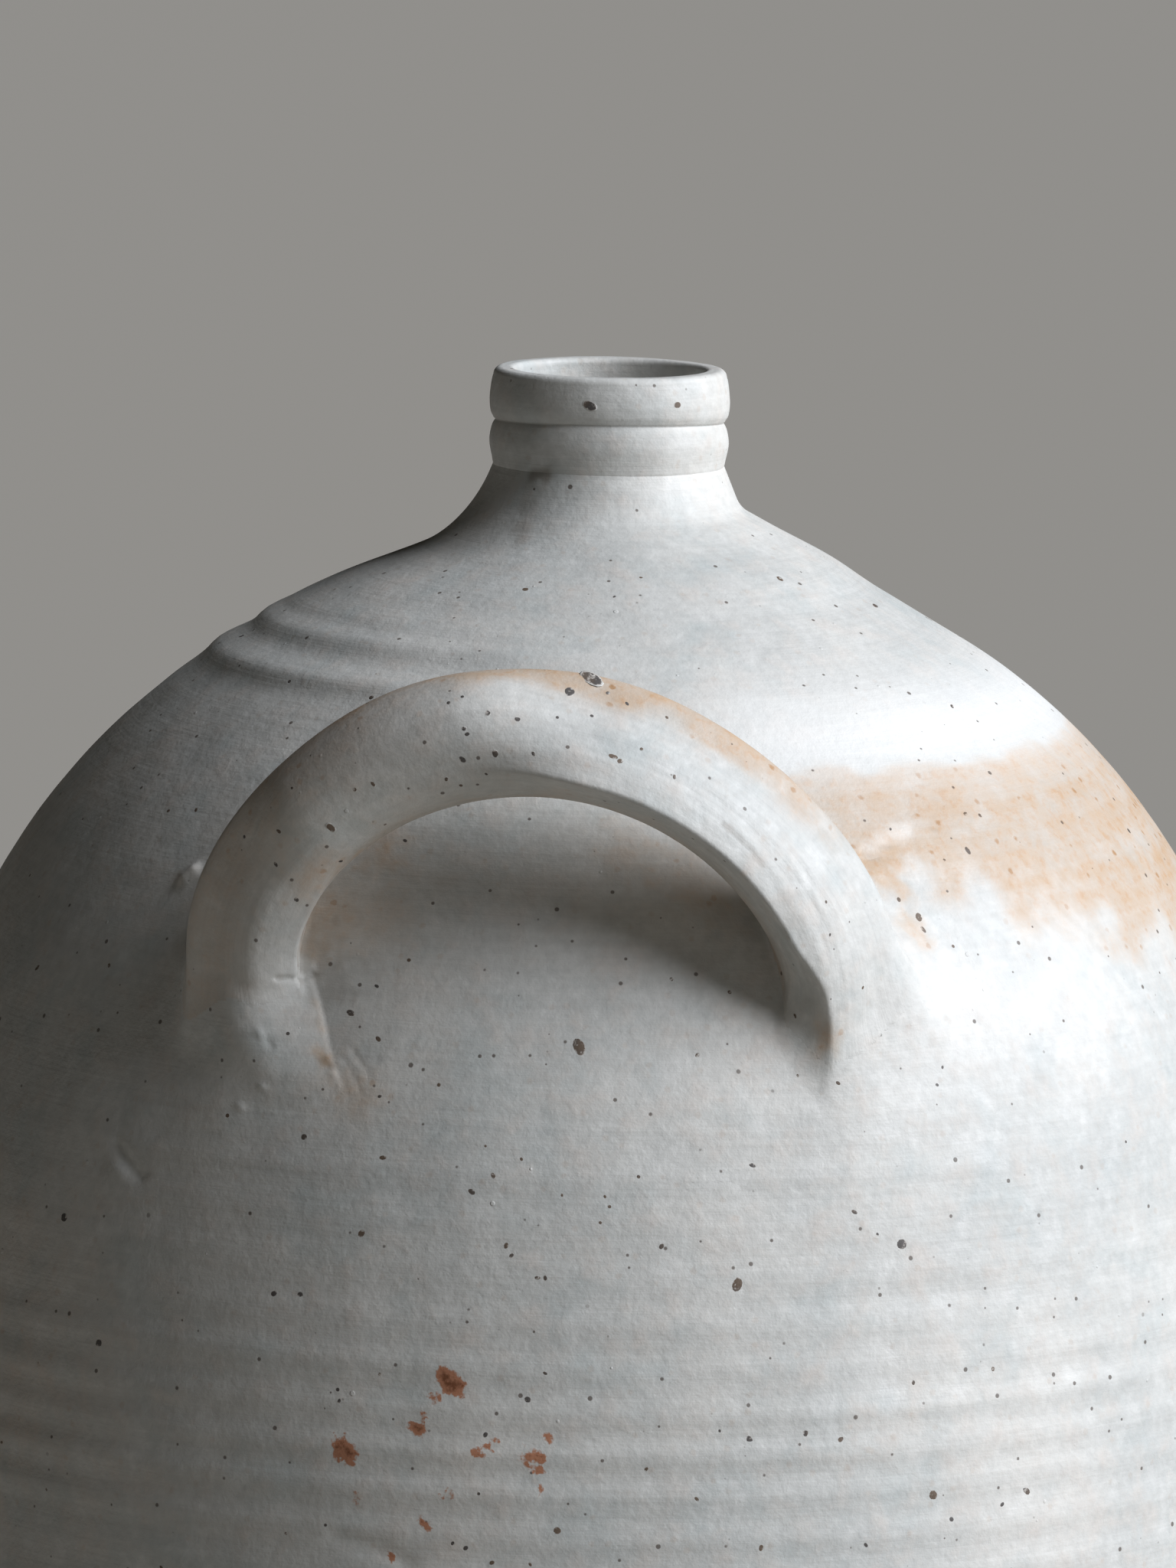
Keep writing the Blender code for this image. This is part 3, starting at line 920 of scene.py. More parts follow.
def root_piece(name, side, material):
    """The pad of clay round one root: its skin, and a back just under the wall."""
    foot = handle_foot(side)
    middle = math.atan2(foot[0], -foot[1])
    reach = math.hypot(foot[0], foot[1])
    top, bottom = foot[2] + root_reach_up, foot[2] - root_reach_down
    profile = evenly(clipped(WALL, top, bottom), root_step)
    columns = round(2 * root_half_width / root_step)
    azimuths = middle + np.linspace(-1, 1, columns) * root_half_width / reach
    start, directions = turned_grid(profile, profile_normals(profile), azimuths)
    shape = start.shape
    directions = directions.reshape(-1, 3)
    start = settled(start.reshape(-1, 3), directions, lambda points: root_wall_gap(points, side))
    cap = fillet_overrun_share * root_rounding(start, side) / 4
    rise = risen(start, directions, lambda points: root_gap(points, side), cap)
    skin = start + directions * (rise - scored(start + directions * rise[:, None], root_step))[:, None]
    back = start - directions * root_back_depth
    faces = quads(shape[0], shape[1], wrap_columns=False)
    count = shape[0] * shape[1]
    faces += [[corner + count for corner in face[::-1]] for face in faces]
    index = np.arange(count).reshape(shape[:2])
    border = np.concatenate([index[:-1, 0], index[-1, :-1], index[:0:-1, -1], index[0, :0:-1]])
    following = np.roll(border, -1)
    faces += [[b, a, a + count, b + count] for a, b in zip(border.tolist(), following.tolist())]
    normals = grid_normals(skin.reshape(shape), wrapped=False).reshape(-1, 3)
    normals = np.concatenate([normals, np.zeros_like(normals)])
    return mesh_piece(name, np.concatenate([skin, back]), faces, material, normals)


def handle_piece(material):
    """The pulled bow, run on into the wall at both ends and filleted where it leaves the clay."""
    angles = -np.arange(handle_columns) * (math.tau / handle_columns)
    spokes = np.cos(angles)[None, :, None] * FRONT[:, None] + np.sin(angles)[None, :, None] * INWARD[:, None]
    shares = np.repeat(LINE_LENGTH / LINE_LENGTH[-1], handle_columns)
    radii = np.repeat(LINE_RADIUS, handle_columns)
    spokes = spokes.reshape(-1, 3)
    middles = np.repeat(LINE, handle_columns, axis=0)
    rough = middles + spokes * radii[:, None]
    rise = handle_relief(rough, shares, np.tile(angles, len(LINE)), radii)
    skin = rough + spokes * rise[:, None]
    count = root_ring_count * handle_columns
    for side, points in ((-1, slice(0, count)), (1, slice(-count, None))):
        cap = fillet_overrun_share * root_rounding(skin[points], side) / 4
        moved = risen(skin[points], spokes[points], lambda p: root_gap(p, side), cap)
        skin[points] += spokes[points] * moved[:, None]
    skin -= spokes * scored(skin, handle_step)[:, None]
    depth = -wall_gap(skin) - handle_end_depth
    outward = skin * (1, 1, 0)
    outward /= np.linalg.norm(outward, axis=1)[:, None]
    skin += outward * np.maximum(depth, 0)[:, None]
    grid = skin.reshape(len(LINE), handle_columns, 3)
    normals = grid_normals(grid).reshape(-1, 3)
    faces = quads(len(LINE), handle_columns)
    first, last = len(skin), len(skin) + 1
    end = len(skin) - handle_columns
    for i in range(handle_columns):
        beside = (i + 1) % handle_columns
        faces.append([first, i, beside])
        faces.append([last, end + beside, end + i])
    ends = np.array([grid[0].mean(axis=0), grid[-1].mean(axis=0)])
    normals = np.concatenate([normals, np.zeros((2, 3))])
    return mesh_piece("carrying_handle", np.concatenate([skin, ends]), faces, material, normals)


def add(tree, kind, inputs=(), **settings):
    """Adds a node with its settings, and gives its inputs values, or other nodes' first outputs."""
    made = tree.nodes.new(kind)
    for name, value in settings.items():
        setattr(made, name, value)
    for name, value in dict(inputs).items():
        if isinstance(value, bpy.types.Node):
            value = value.outputs[0]
        if isinstance(value, bpy.types.NodeSocket):
            tree.links.new(value, made.inputs[name])
        else:
            made.inputs[name].default_value = value
    return made


def finish_tree(tree, made, material):
    """Ends a geometry tree: smooth, with real copies, in its material."""
    smooth = add(tree, "GeometryNodeSetShadeSmooth", {"Geometry": made})
    plain = add(tree, "GeometryNodeRealizeInstances", {"Geometry": smooth})
    finished = add(tree, "GeometryNodeSetMaterial", {"Geometry": plain, "Material": material})
    add(tree, "NodeGroupOutput", {0: finished})


def start_tree(name, sizes):
    """A geometry tree with a geometry input, then the named inputs, and a geometry output."""
    tree = bpy.data.node_groups.new(name, "GeometryNodeTree")
    tree.interface.new_socket("Geometry", in_out="INPUT", socket_type="NodeSocketGeometry")
    tree.interface.new_socket("Geometry", in_out="OUTPUT", socket_type="NodeSocketGeometry")
    for label, value in sizes.items():
        kinds = {int: "NodeSocketInt", float: "NodeSocketFloat", tuple: "NodeSocketVector"}
        tree.interface.new_socket(label, in_out="INPUT", socket_type=kinds[type(value)])
    return tree, tree.nodes.new("NodeGroupInput").outputs


def grown(source, name, tree, sizes):
    """What a geometry tree makes of an object, as a plain mesh that takes the object's place."""
    modifier = source.modifiers.new(tree.name, "NODES")
    modifier.node_group = tree
    for item in tree.interface.items_tree:
        if item.in_out == "INPUT" and item.name in sizes:
            modifier[item.identifier] = sizes[item.name]
    source.update_tag()
    bpy.context.view_layer.update()
    graph = bpy.context.evaluated_depsgraph_get()
    mesh = bpy.data.meshes.new_from_object(source.evaluated_get(graph))
    bpy.data.objects.remove(source)
    mesh.name = name
    return in_scene(name, mesh)


# Mouth collar: each band's radius and its drop below the rim
rim_lip_radius = 25.3 * MM
rim_outer_round = 1.7 * MM
rim_inner_round = 1.3 * MM
upper_band = (26 * MM, 6.3 * MM)
upper_band_edge = (25.85 * MM, 9.5 * MM)
overhang = (25.25 * MM, 10.9 * MM)
notch = (24.6 * MM, 11.5 * MM)
ledge = (25 * MM, 12 * MM)
ledge_slope = (25.55 * MM, 13.4 * MM)
lower_band = (25.95 * MM, 16.2 * MM)
lower_slope = (25.35 * MM, 19.6 * MM)
crease = (24.95 * MM, 21.3 * MM)
collar_foot = (24 * MM, 22 * MM)
# The notch stands higher in front than behind: its rise by the distance from the middle, and how far
# above and below it the bands follow
collar_notch_tilt = -0.055
collar_band_height = 9.5 * MM
collar_wobble = 0.22 * MM
collar_wobble_length = 21 * MM
collar_wobble_middle = 0.62
collar_wobble_spread = 2.5
collar_columns = 300
collar_step = 0.4 * MM


def arc(centre, radius, start, end, steps=8):
    """Points along an arc from one angle to another."""
    angles = np.linspace(start, end, steps + 1)
    return np.stack([centre[0] + radius * np.cos(angles), centre[1] + radius * np.sin(angles)], axis=1)


def smooth_through(points, steps=10):
    """A curve through (radius, height) points, with its first and last stretch left out."""
    points = np.array(points)
    curve = []
    for before, start, end, after in zip(points, points[1:], points[2:], points[3:]):
        for t in np.arange(steps) / steps:
            bend = 2 * before - 5 * start + 4 * end - after + t * (3 * (start - end) + after - before)
            curve.append(start + 0.5 * t * (end - before + t * bend))
    return np.array(curve + [points[-2]])


def collar_section():
    """The collar's closed section as (radius, height): rim, two bands with a notch, seat and bore."""
    top = rim_height - collar_wobble
    above = (rim_lip_radius - rim_outer_round, 0)
    lip_edge = (rim_lip_radius, rim_outer_round)
    upper = [above, lip_edge, upper_band, upper_band_edge, overhang, notch, (bore_radius, notch[1])]
    lower = [notch, ledge, ledge_slope, lower_band, lower_slope, crease, collar_foot]
    outer = [(radius, top - drop) for curve in (upper, lower) for radius, drop in smooth_through(curve)]
    outer_centre = (rim_lip_radius - rim_outer_round, top - rim_outer_round)
    inner_centre = (bore_radius + rim_inner_round, top - rim_inner_round)
    rim = arc(outer_centre, rim_outer_round, math.pi / 2, 0)[:-1]
    lip = arc(inner_centre, rim_inner_round, math.pi, math.pi / 2)
    seat = [(collar_foot[0], top - collar_foot[1]), (bore_radius, collar_base)]
    return np.concatenate([rim, outer, seat, lip])


def mouth_collar(material):
    """The collar, turned from its section by a Geometry Nodes tree and left a little uneven."""
    sizes = {
        "Turning radius": float(collar_seat_radius),
        "Columns": collar_columns,
        "Row step": collar_step,
        "Centre": (neck_offset, 0.0, 0.0),
        "Notch height": rim_height - collar_wobble - notch[1],
        "Notch tilt": collar_notch_tilt,
        "Band height": collar_band_height,
        "Wobble": collar_wobble,
        "Wobble length": collar_wobble_length,
        "Seed": 4.0,
    }
    tree, given = start_tree("turned_collar", sizes)
    evened = {"Curve": given["Geometry"], "Length": given["Row step"]}
    even = add(tree, "GeometryNodeResampleCurve", evened, mode="LENGTH")
    turning = {"Resolution": given["Columns"], "Radius": given["Turning radius"]}
    circle = add(tree, "GeometryNodeCurvePrimitiveCircle", turning)
    swept = add(tree, "GeometryNodeCurveToMesh", {"Curve": circle, "Profile Curve": even})
    position = add(tree, "GeometryNodeInputPosition")
    scale = add(tree, "ShaderNodeMath", {0: 1.0, 1: given["Wobble length"]}, operation="DIVIDE")
    uneven = {"Vector": position, "W": given["Seed"], "Scale": scale, "Detail": 3.0}
    noise = add(tree, "ShaderNodeTexNoise", uneven, noise_dimensions="4D")
    centred = add(tree, "ShaderNodeMath", {0: noise, 1: collar_wobble_middle}, operation="SUBTRACT")
    amount = add(tree, "ShaderNodeMath", {0: centred, 1: given["Wobble"]}, operation="MULTIPLY")
    spread = add(tree, "ShaderNodeMath", {0: amount, 1: collar_wobble_spread}, operation="MULTIPLY")
    facing = add(tree, "GeometryNodeInputNormal")
    push = add(tree, "ShaderNodeVectorMath", {0: facing, "Scale": spread}, operation="SCALE")
    moved = add(tree, "GeometryNodeSetPosition", {"Geometry": swept, "Offset": push})
    apart = add(tree, "ShaderNodeSeparateXYZ", {0: position}).outputs
    from_notch = add(tree, "ShaderNodeMath", {0: apart[2], 1: given["Notch height"]}, operation="SUBTRACT")
    away = add(tree, "ShaderNodeMath", {0: from_notch}, operation="ABSOLUTE")
    band = {"Value": away, "From Max": given["Band height"], "To Min": given["Notch tilt"], "To Max": 0.0}
    tilt = add(tree, "ShaderNodeMapRange", band, interpolation_type="SMOOTHSTEP")
    rise = add(tree, "ShaderNodeMath", {0: apart[1], 1: tilt}, operation="MULTIPLY")
    lift = add(tree, "ShaderNodeCombineXYZ", {2: rise})
    tilted = add(tree, "GeometryNodeSetPosition", {"Geometry": moved, "Offset": lift})
    placed = add(tree, "GeometryNodeTransform", {"Geometry": tilted, "Translation": given["Centre"]})
    finish_tree(tree, placed, material)

    curve = bpy.data.curves.new("collar_section", "CURVE")
    curve.dimensions = "3D"
    spline = curve.splines.new("POLY")
    section = collar_section()
    spline.points.add(len(section) - 1)
    for point, (radius, height) in zip(spline.points, section):
        point.co = (radius - collar_seat_radius, -height, 0, 1)
    spline.use_cyclic_u = True
    return grown(in_scene("collar_section", curve), "mouth_collar", tree, sizes)


# Where iron, flashing and stains show, and where shade and highlights are painted, as pixels of the
# photograph: the photograph's marks lie on the same places of the clay. A stroke is (attribute, half
# width in mm, strength, pixels).
STROKES = [
    ("brown", 2.0, 0.55, [(694, 624), (706, 620), (714, 623)]),
    ("brown", 2.6, 0.30, [(693, 630), (690, 655), (686, 680), (678, 706)]),
    ("brown", 1.2, 0.45, [(424, 1384), (431, 1392)]),
    ("flash", 0.9, 0.35, [(414, 1310), (421, 1340), (427, 1372), (436, 1402)]),
    ("flash", 1.4, 0.8, [(420, 1372), (426, 1388)]),
    ("flash", 5, 0.55, [(414, 1190), (420, 1225)]),
    # Painted shade in the corner between the left leg and the wall
    ("brown", 7, 0.30, [(414, 1235), (430, 1290)]),
    ("flash", 5, 0.4, [(447, 1418), (470, 1432)]),
    ("flash", 6, 0.5, [(408, 1150), (440, 1130), (500, 1108)]),
    ("flash", 7, 0.35, [(820, 1110), (880, 1130), (930, 1175)]),
    ("flash", 3, 0.7, [(1078, 1346), (1082, 1360)]),
    # The next three brown strokes are painted shade: along the right leg's shaded inner side and in two
    # pulled grooves
    ("brown", 4, 0.25, [(1030, 1180), (1052, 1250), (1062, 1310)]),
    ("brown", 0.8, 0.3, [(944, 1076), (962, 1092), (980, 1108), (996, 1132)]),
    ("brown", 0.7, 0.25, [(1080, 1290), (1088, 1326)]),
    ("flash", 3, 0.9, [(1188, 1206), (1205, 1226)]),
    # Painted highlights: a white line above the arc groove, and a pale sheet low on the lit right
    ("ash", 2, 0.5, [(1138, 1108), (1160, 1092), (1184, 1086)]),
    ("ash", 18, 0.35, [(1240, 1300), (1400, 1270)]),
    ("flash", 4.2, 1.0, [(1148, 1144), (1162, 1126), (1188, 1110), (1216, 1098)]),
    ("flash", 2.6, 0.9, [(1146, 1124), (1166, 1150), (1178, 1164)]),
    # The next two brown strokes are painted shade: the dark line in the arc groove
    ("brown", 0.8, 0.30, [(1136, 1116), (1156, 1108), (1170, 1102)]),
    ("brown", 0.7, 0.24, [(1190, 1094), (1222, 1084)]),
    ("rust", 2.0, 1.0, [(581, 1798), (594, 1808)]),
    ("rust", 2.2, 1.0, [(443, 1888), (455, 1900)]),
    ("rust", 1.2, 1.0, [(541, 1862), (548, 1868)]),
    ("rust", 1.6, 0.9, [(688, 1905), (702, 1902)]),
    ("rust", 1.1, 0.8, [(622, 1902), (636, 1892), (645, 1884)]),
    ("rust", 1.1, 0.8, [(549, 1987), (556, 1992)]),
    ("rust", 1.0, 0.8, [(583, 1961), (588, 1952)]),
    ("rust", 1.1, 0.8, [(566, 1829), (572, 1823)]),
    ("rust", 1.0, 0.8, [(550, 1846), (552, 1850)]),
    ("rust", 1.0, 0.7, [(714, 1873), (715, 1877)]),
    ("rust", 1.0, 0.7, [(702, 1923), (706, 1923)]),
    ("rust", 1.0, 0.7, [(705, 1943), (706, 1949)]),
    ("rust", 1.0, 0.7, [(510, 2030), (513, 2036)]),
    ("rust", 1.0, 0.6, [(462, 1955), (465, 1968)]),
]

# Iron specks as (pixel x, pixel y, width in mm)
SPECKS = [
    (773, 886, 3.0), (744, 903, 2.0), (756, 1367, 2.3), (458, 1323, 1.2), (494, 1357, 0.9),
    (397, 1485, 1.3), (376, 1350, 0.8), (500, 1512, 0.9), (616, 1556, 1.1), (472, 1611, 1.3),
    (358, 1689, 1.2), (392, 1691, 1.3), (84, 1590, 1.8), (129, 1755, 1.6), (1178, 1625, 2.2),
    (963, 1678, 2.0), (1193, 1806, 1.0), (689, 1828, 1.2), (979, 1881, 1.2), (1052, 1871, 1.1),
    (1098, 1880, 1.0), (1219, 1953, 1.8), (1297, 1788, 0.9), (983, 1522, 0.9), (1116, 1583, 0.8),
    (1146, 1612, 0.7), (644, 1535, 0.8), (681, 1514, 0.8), (790, 1563, 0.7), (796, 1576, 0.7),
    (784, 1597, 0.7), (834, 1537, 0.7), (734, 1561, 0.7), (668, 1640, 0.8), (702, 1669, 0.7),
    (712, 1669, 0.7), (864, 1628, 0.9), (770, 530, 1.7), (885, 529, 1.2), (1019, 756, 1.7),
    (485, 911, 1.1), (378, 890, 0.9), (432, 1081, 1.3), (220, 1059, 1.0), (1264, 1111, 1.2),
    (1200, 1198, 1.6), (1174, 1175, 1.2), (1206, 1214, 1.0), (586, 918, 0.8), (604, 910, 0.7),
    (637, 931, 1.1), (676, 939, 1.1), (606, 952, 0.8), (610, 959, 0.8), (647, 985, 1.5),
    (604, 992, 1.0), (635, 1011, 0.7), (602, 1026, 0.7), (583, 1018, 0.7), (773, 935, 0.8),
    (801, 988, 1.1), (810, 994, 1.0), (794, 905, 0.8), (819, 919, 0.7), (871, 937, 0.8),
    (728, 937, 0.7), (697, 985, 0.7), (838, 978, 0.7), (881, 1015, 0.7), (844, 1919, 0.7),
    (910, 1958, 0.7), (994, 2022, 0.9), (940, 1869, 0.7), (496, 1795, 0.8), (441, 1815, 0.8),
    (443, 1830, 0.7), (634, 1874, 0.9), (425, 1992, 0.7), (625, 1951, 0.7), (1131, 2018, 0.7),
    (1309, 1965, 0.8), (387, 1175, 1.1), (445, 1125, 0.8), (534, 1254, 0.8), (360, 1129, 0.8),
    (364, 1086, 0.8), (319, 1093, 0.8), (463, 1031, 0.8), (487, 1024, 0.7), (256, 1058, 0.8),
    (503, 1077, 0.8), (492, 1288, 0.7), (573, 1417, 0.8), (496, 1432, 0.7), (297, 1457, 0.9),
    (529, 1098, 0.7), (1079, 1178, 0.7), (1084, 1221, 0.7), (877, 1279, 0.8), (953, 1296, 0.8),
    (911, 1378, 0.8), (1042, 1405, 0.7), (1095, 1415, 0.7), (1231, 1394, 0.8), (1224, 1417, 0.7),
    (1245, 1236, 0.8), (1038, 1327, 0.7), (1127, 1290, 0.8), (1163, 1083, 0.8), (1261, 1063, 0.9),
    (1280, 1065, 0.9),
]
# More specks all round, most of them left out in the photograph's view, where each has its own place
scattered_specks = 420
lowest_speck = 6 * MM
highest_speck = 396 * MM
least_speck_width = 0.6 * MM
speck_width_spread = 0.9 * MM
ray_start = 400 * MM
photo_half_turn = 75 * DEG
photo_lowest = 220 * MM
photo_thinning = 0.7
bead_radius_share = 0.64
least_speck_height = 0.05 * MM
speck_height_growth = 22
speck_sunk_share = 0.6
speck_edge = 0.62
speck_core = 0.42


def bvh_trees(objects):
    """Search trees of the pieces, for casting lines of sight on them."""
    graph = bpy.context.evaluated_depsgraph_get()
    return [BVHTree.FromObject(obj, graph) for obj in objects]


def cast(trees, start, direction):
    """The first place where a ray meets the clay, as (place, facing), or nothing."""
    hits = [tree.ray_cast(start, direction) for tree in trees]
    hits = [hit for hit in hits if hit[0] is not None]
    if not hits:
        return None
    place, facing, _, _ = min(hits, key=lambda hit: hit[3])
    return np.array(place), np.array(facing)


def speck_places(trees, camera):
    """Places, facings and widths of the iron specks: those photographed, and others all round."""
    found = []
    for x, y, width in SPECKS:
        hit = cast(trees, *sight(camera, (x, y)))
        found.append((*hit, width * MM))
    draw = np.random.default_rng(19)
    while len(found) < len(SPECKS) + scattered_specks:
        azimuth = draw.uniform(-math.pi, math.pi)
        height = draw.uniform(lowest_speck, highest_speck)
        width = least_speck_width + speck_width_spread * draw.random() ** 3
        out = Vector((math.sin(azimuth), -math.cos(azimuth), 0))
        start = out * ray_start + Vector((0, 0, height))
        hit = cast(trees, start, -out)
        in_photo = abs(azimuth - camera_azimuth) < photo_half_turn and height > photo_lowest
        if hit and not (in_photo and draw.random() < photo_thinning):
            found.append((*hit, width))
    places, facings, widths = [np.array(column) for column in zip(*found)]
    heights = least_speck_height + speck_height_growth * widths**2
    sunk = speck_sunk_share * bead_radius_share * heights
    return places - facings * sunk[:, None], facings, widths, heights


def iron_specks(trees, camera, material):
    """Melted iron specks: flattened beads, sunk in the clay, by a Geometry Nodes tree."""
    places, facings, widths, heights = speck_places(trees, camera)
    mesh = bpy.data.meshes.new("speck_places")
    mesh.from_pydata(places.tolist(), [], [])
    mesh.attributes.new("facing", "FLOAT_VECTOR", "POINT").data.foreach_set("vector", facings.ravel())
    mesh.attributes.new("width", "FLOAT", "POINT").data.foreach_set("value", widths)
    mesh.attributes.new("height", "FLOAT", "POINT").data.foreach_set("value", heights)
    source = in_scene("speck_places", mesh)

    sizes = {"Bead radius": bead_radius_share, "Least stretch": 0.7, "Most stretch": 1.7, "Seed": 3}
    tree, given = start_tree("scattered_beads", sizes)
    bead = add(tree, "GeometryNodeMeshUVSphere", {"Segments": 12, "Rings": 8, "Radius": given["Bead radius"]})
    position = add(tree, "GeometryNodeInputPosition")
    apart = add(tree, "ShaderNodeSeparateXYZ", {0: position}).outputs
    flat = add(tree, "ShaderNodeCombineXYZ", {0: apart[0], 1: apart[1]})
    away = add(tree, "ShaderNodeVectorMath", {0: flat}, operation="LENGTH").outputs["Value"]
    fading = {"Value": away, "From Min": speck_edge, "From Max": speck_core, "To Min": 0.0, "To Max": 1.0}
    core = {"Geometry": bead, "Name": "iron", "Value": add(tree, "ShaderNodeMapRange", fading)}
    kept = add(tree, "GeometryNodeStoreNamedAttribute", core, data_type="FLOAT", domain="POINT")
    facing = add(tree, "GeometryNodeInputNamedAttribute", {"Name": "facing"}, data_type="FLOAT_VECTOR")
    width = add(tree, "GeometryNodeInputNamedAttribute", {"Name": "width"}, data_type="FLOAT")
    height = add(tree, "GeometryNodeInputNamedAttribute", {"Name": "height"}, data_type="FLOAT")
    stood = add(tree, "FunctionNodeAlignRotationToVector", {"Vector": facing}, axis="Z")
    spread = {2: 0.0, 3: math.tau, "Seed": given["Seed"]}
    turn = add(tree, "FunctionNodeRandomValue", spread, data_type="FLOAT").outputs[1]
    spin = add(tree, "FunctionNodeAxisAngleToRotation", {"Axis": (0, 0, 1), "Angle": turn})
    turned = add(tree, "FunctionNodeRotateRotation", {0: stood, 1: spin}, rotation_space="LOCAL")
    spread = {2: given["Least stretch"], 3: given["Most stretch"], "Seed": given["Seed"]}
    stretch = add(tree, "FunctionNodeRandomValue", spread, data_type="FLOAT").outputs[1]
    length = add(tree, "ShaderNodeMath", {0: width, 1: stretch}, operation="MULTIPLY")
    scale = add(tree, "ShaderNodeCombineXYZ", {0: length, 1: width, 2: height})
    placing = {"Points": given["Geometry"], "Instance": kept, "Rotation": turned, "Scale": scale}
    beads = add(tree, "GeometryNodeInstanceOnPoints", placing)
    finish_tree(tree, beads, material)
    return grown(source, "iron_specks", tree, sizes)


# Orange flashing, as azimuths in degrees and heights in mm: a band on the right of the shoulder, and
# faint patches, each with its azimuth and half width, its height and half height, and its strength.
# The patch low on the left is painted shade: a warm brown tint on the jug's shaded side.
flash_top = 359.5
FLASH_BOTTOM = [(10, 352), (20, 347), (34, 343), (44, 338), (54, 328), (66, 322), (120, 326), (150, 345)]
FLASH_AND_SHADE_PATCHES = [
    (-21, 9, 331, 7, 0.55),
    (200, 40, 290, 60, 0.7),
    # Painted shade: a warm brown tint on the shaded left of the belly
    (-62, 18, 225, 35, 0.5),
]
flash_top_edge = 0.9
flash_bottom_edge = (-7, 6)
flash_bottom_raggedness = 3
flash_start = (12, 34)
flash_end = (150, 100)
# A whiter band on the right of the neck's foot, and the bare clay at the foot
white_band_strength = 0.75
white_band_height = 366
white_band_half_height = 9
white_band_start = (8, 30)
white_band_end = (140, 100)
bare_edge = (9, 3.5)
bare_raggedness = 1.2
# How long the unevenness of a finish's border is, and a stroke's own
ragged_length = 13 * MM
stroke_ragged_length = 4 * MM
stroke_raggedness = 0.28


def wall_flash(azimuth, height, ragged):
    """The flashed band on the right of the shoulder, the faint patches elsewhere, and painted shade low on
    the left of the belly.
    """
    above = height + flash_top_edge * ragged
    top = smooth_step(flash_top + flash_top_edge, flash_top - flash_top_edge, above)
    bottom = np.interp(azimuth, *zip(*FLASH_BOTTOM))
    below = height - bottom + flash_bottom_raggedness * ragged
    flash = top * smooth_step(*flash_bottom_edge, below)
    flash *= smooth_step(*flash_start, azimuth) * smooth_step(*flash_end, azimuth)
    for middle, half_width, level, half_height, strength in FLASH_AND_SHADE_PATCHES:
        beside = around(azimuth * DEG, middle * DEG) / DEG
        flash += strength * bell(beside, half_width) * bell(height - level, half_height)
    return np.clip(flash, 0, 1) * (0.92 + 0.1 * ragged)


def handle_flash(share, angle, ragged):
    """Flashing along the bow's top edge, on its underside and on its left leg."""
    window = smooth_step(0.2, 0.42, share) * smooth_step(0.86, 0.7, share)
    top = bell(around(angle, (-99 + 6 * ragged) * DEG), (22 + 4 * share) * DEG) * window
    under = 0.55 * bell(around(angle, 105 * DEG), 42 * DEG) * smooth_step(0.14, 0.3, share)
    left = 0.35 * bell(around(angle, -60 * DEG), 60 * DEG) * smooth_step(0.5, 0.25, share)
    return np.clip(top + under + left, 0, 1)


def painted(points, strokes):
    """How strongly each attribute of the strokes colours the points."""
    amounts = {name: np.zeros(len(points)) for name in ("flash", "ash", "brown", "rust")}
    ragged = swell(points, stroke_ragged_length, 31)
    for name, half_width, strength, places in strokes:
        near = near_run(points, places, 3 * half_width * MM)
        if near.any():
            share = run_distance(points[near], places) / (half_width * MM)
            share += stroke_raggedness * ragged[near]
            amounts[name][near] = np.maximum(amounts[name][near], strength * bell(share.clip(0), 1))
    return amounts


ARC = np.concatenate([[0], np.cumsum(np.linalg.norm(np.diff(FIELD_PROFILE, axis=0), axis=1))])
# How much the clay's lines are drawn out along the bow, and round the wall
pulled_grain_share = 0.04
thrown_grain_share = 0.03


def dress(piece, strokes):
    """Gives a piece the attributes that its material reads."""
    mesh = piece.data
    points = np.empty(len(mesh.vertices) * 3, np.float32)
    mesh.vertices.foreach_get("co", points)
    points = points.reshape(-1, 3).astype(float)
    azimuth = np.arctan2(points[:, 0], -points[:, 1]) / DEG
    height = points[:, 2] / MM
    ragged = swell(points, ragged_length, 41)
    if piece.name.startswith("carrying_handle"):
        ash = 0
        ring = np.minimum(np.arange(len(points)) // handle_columns, len(LINE) - 1)
        angle = -(np.arange(len(points)) % handle_columns) * math.tau / handle_columns
        share = LINE_LENGTH[ring] / LINE_LENGTH[-1]
        flash = handle_flash(share, angle, ragged)
        radius = LINE_RADIUS[ring]
        along = pulled_grain_share * LINE_LENGTH[ring]
        grain = np.stack([radius * np.cos(angle), radius * np.sin(angle), along], axis=1)
    else:
        ash = white_band_strength * bell(height - white_band_height, white_band_half_height)
        ash *= smooth_step(*white_band_start, azimuth) * smooth_step(*white_band_end, azimuth)
        flash = wall_flash(azimuth, height, ragged)
        up_wall = np.interp(points[:, 2], FIELD_PROFILE[:, 1], ARC)
        up_wall += np.maximum(points[:, 2] - collar_base, 0)
        round_wall = thrown_grain_share * points[:, :2]
        grain = np.concatenate([round_wall, up_wall[:, None]], axis=1)
    amounts = painted(points, strokes)
    values = {
        "flash": np.clip(np.maximum(flash, amounts["flash"]), 0, 1),
        "ash": np.clip(ash + amounts["ash"], 0, 1),
        "brown": np.clip(amounts["brown"], 0, 1),
        "rust": np.clip(amounts["rust"], 0, 1),
        "bare": smooth_step(*bare_edge, height + bare_raggedness * ragged),
    }
    for name, amount in values.items():
        mesh.attributes.new(name, "FLOAT", "POINT").data.foreach_set("value", amount)
    mesh.attributes.new("grain", "FLOAT_VECTOR", "POINT").data.foreach_set("vector", grain.ravel())


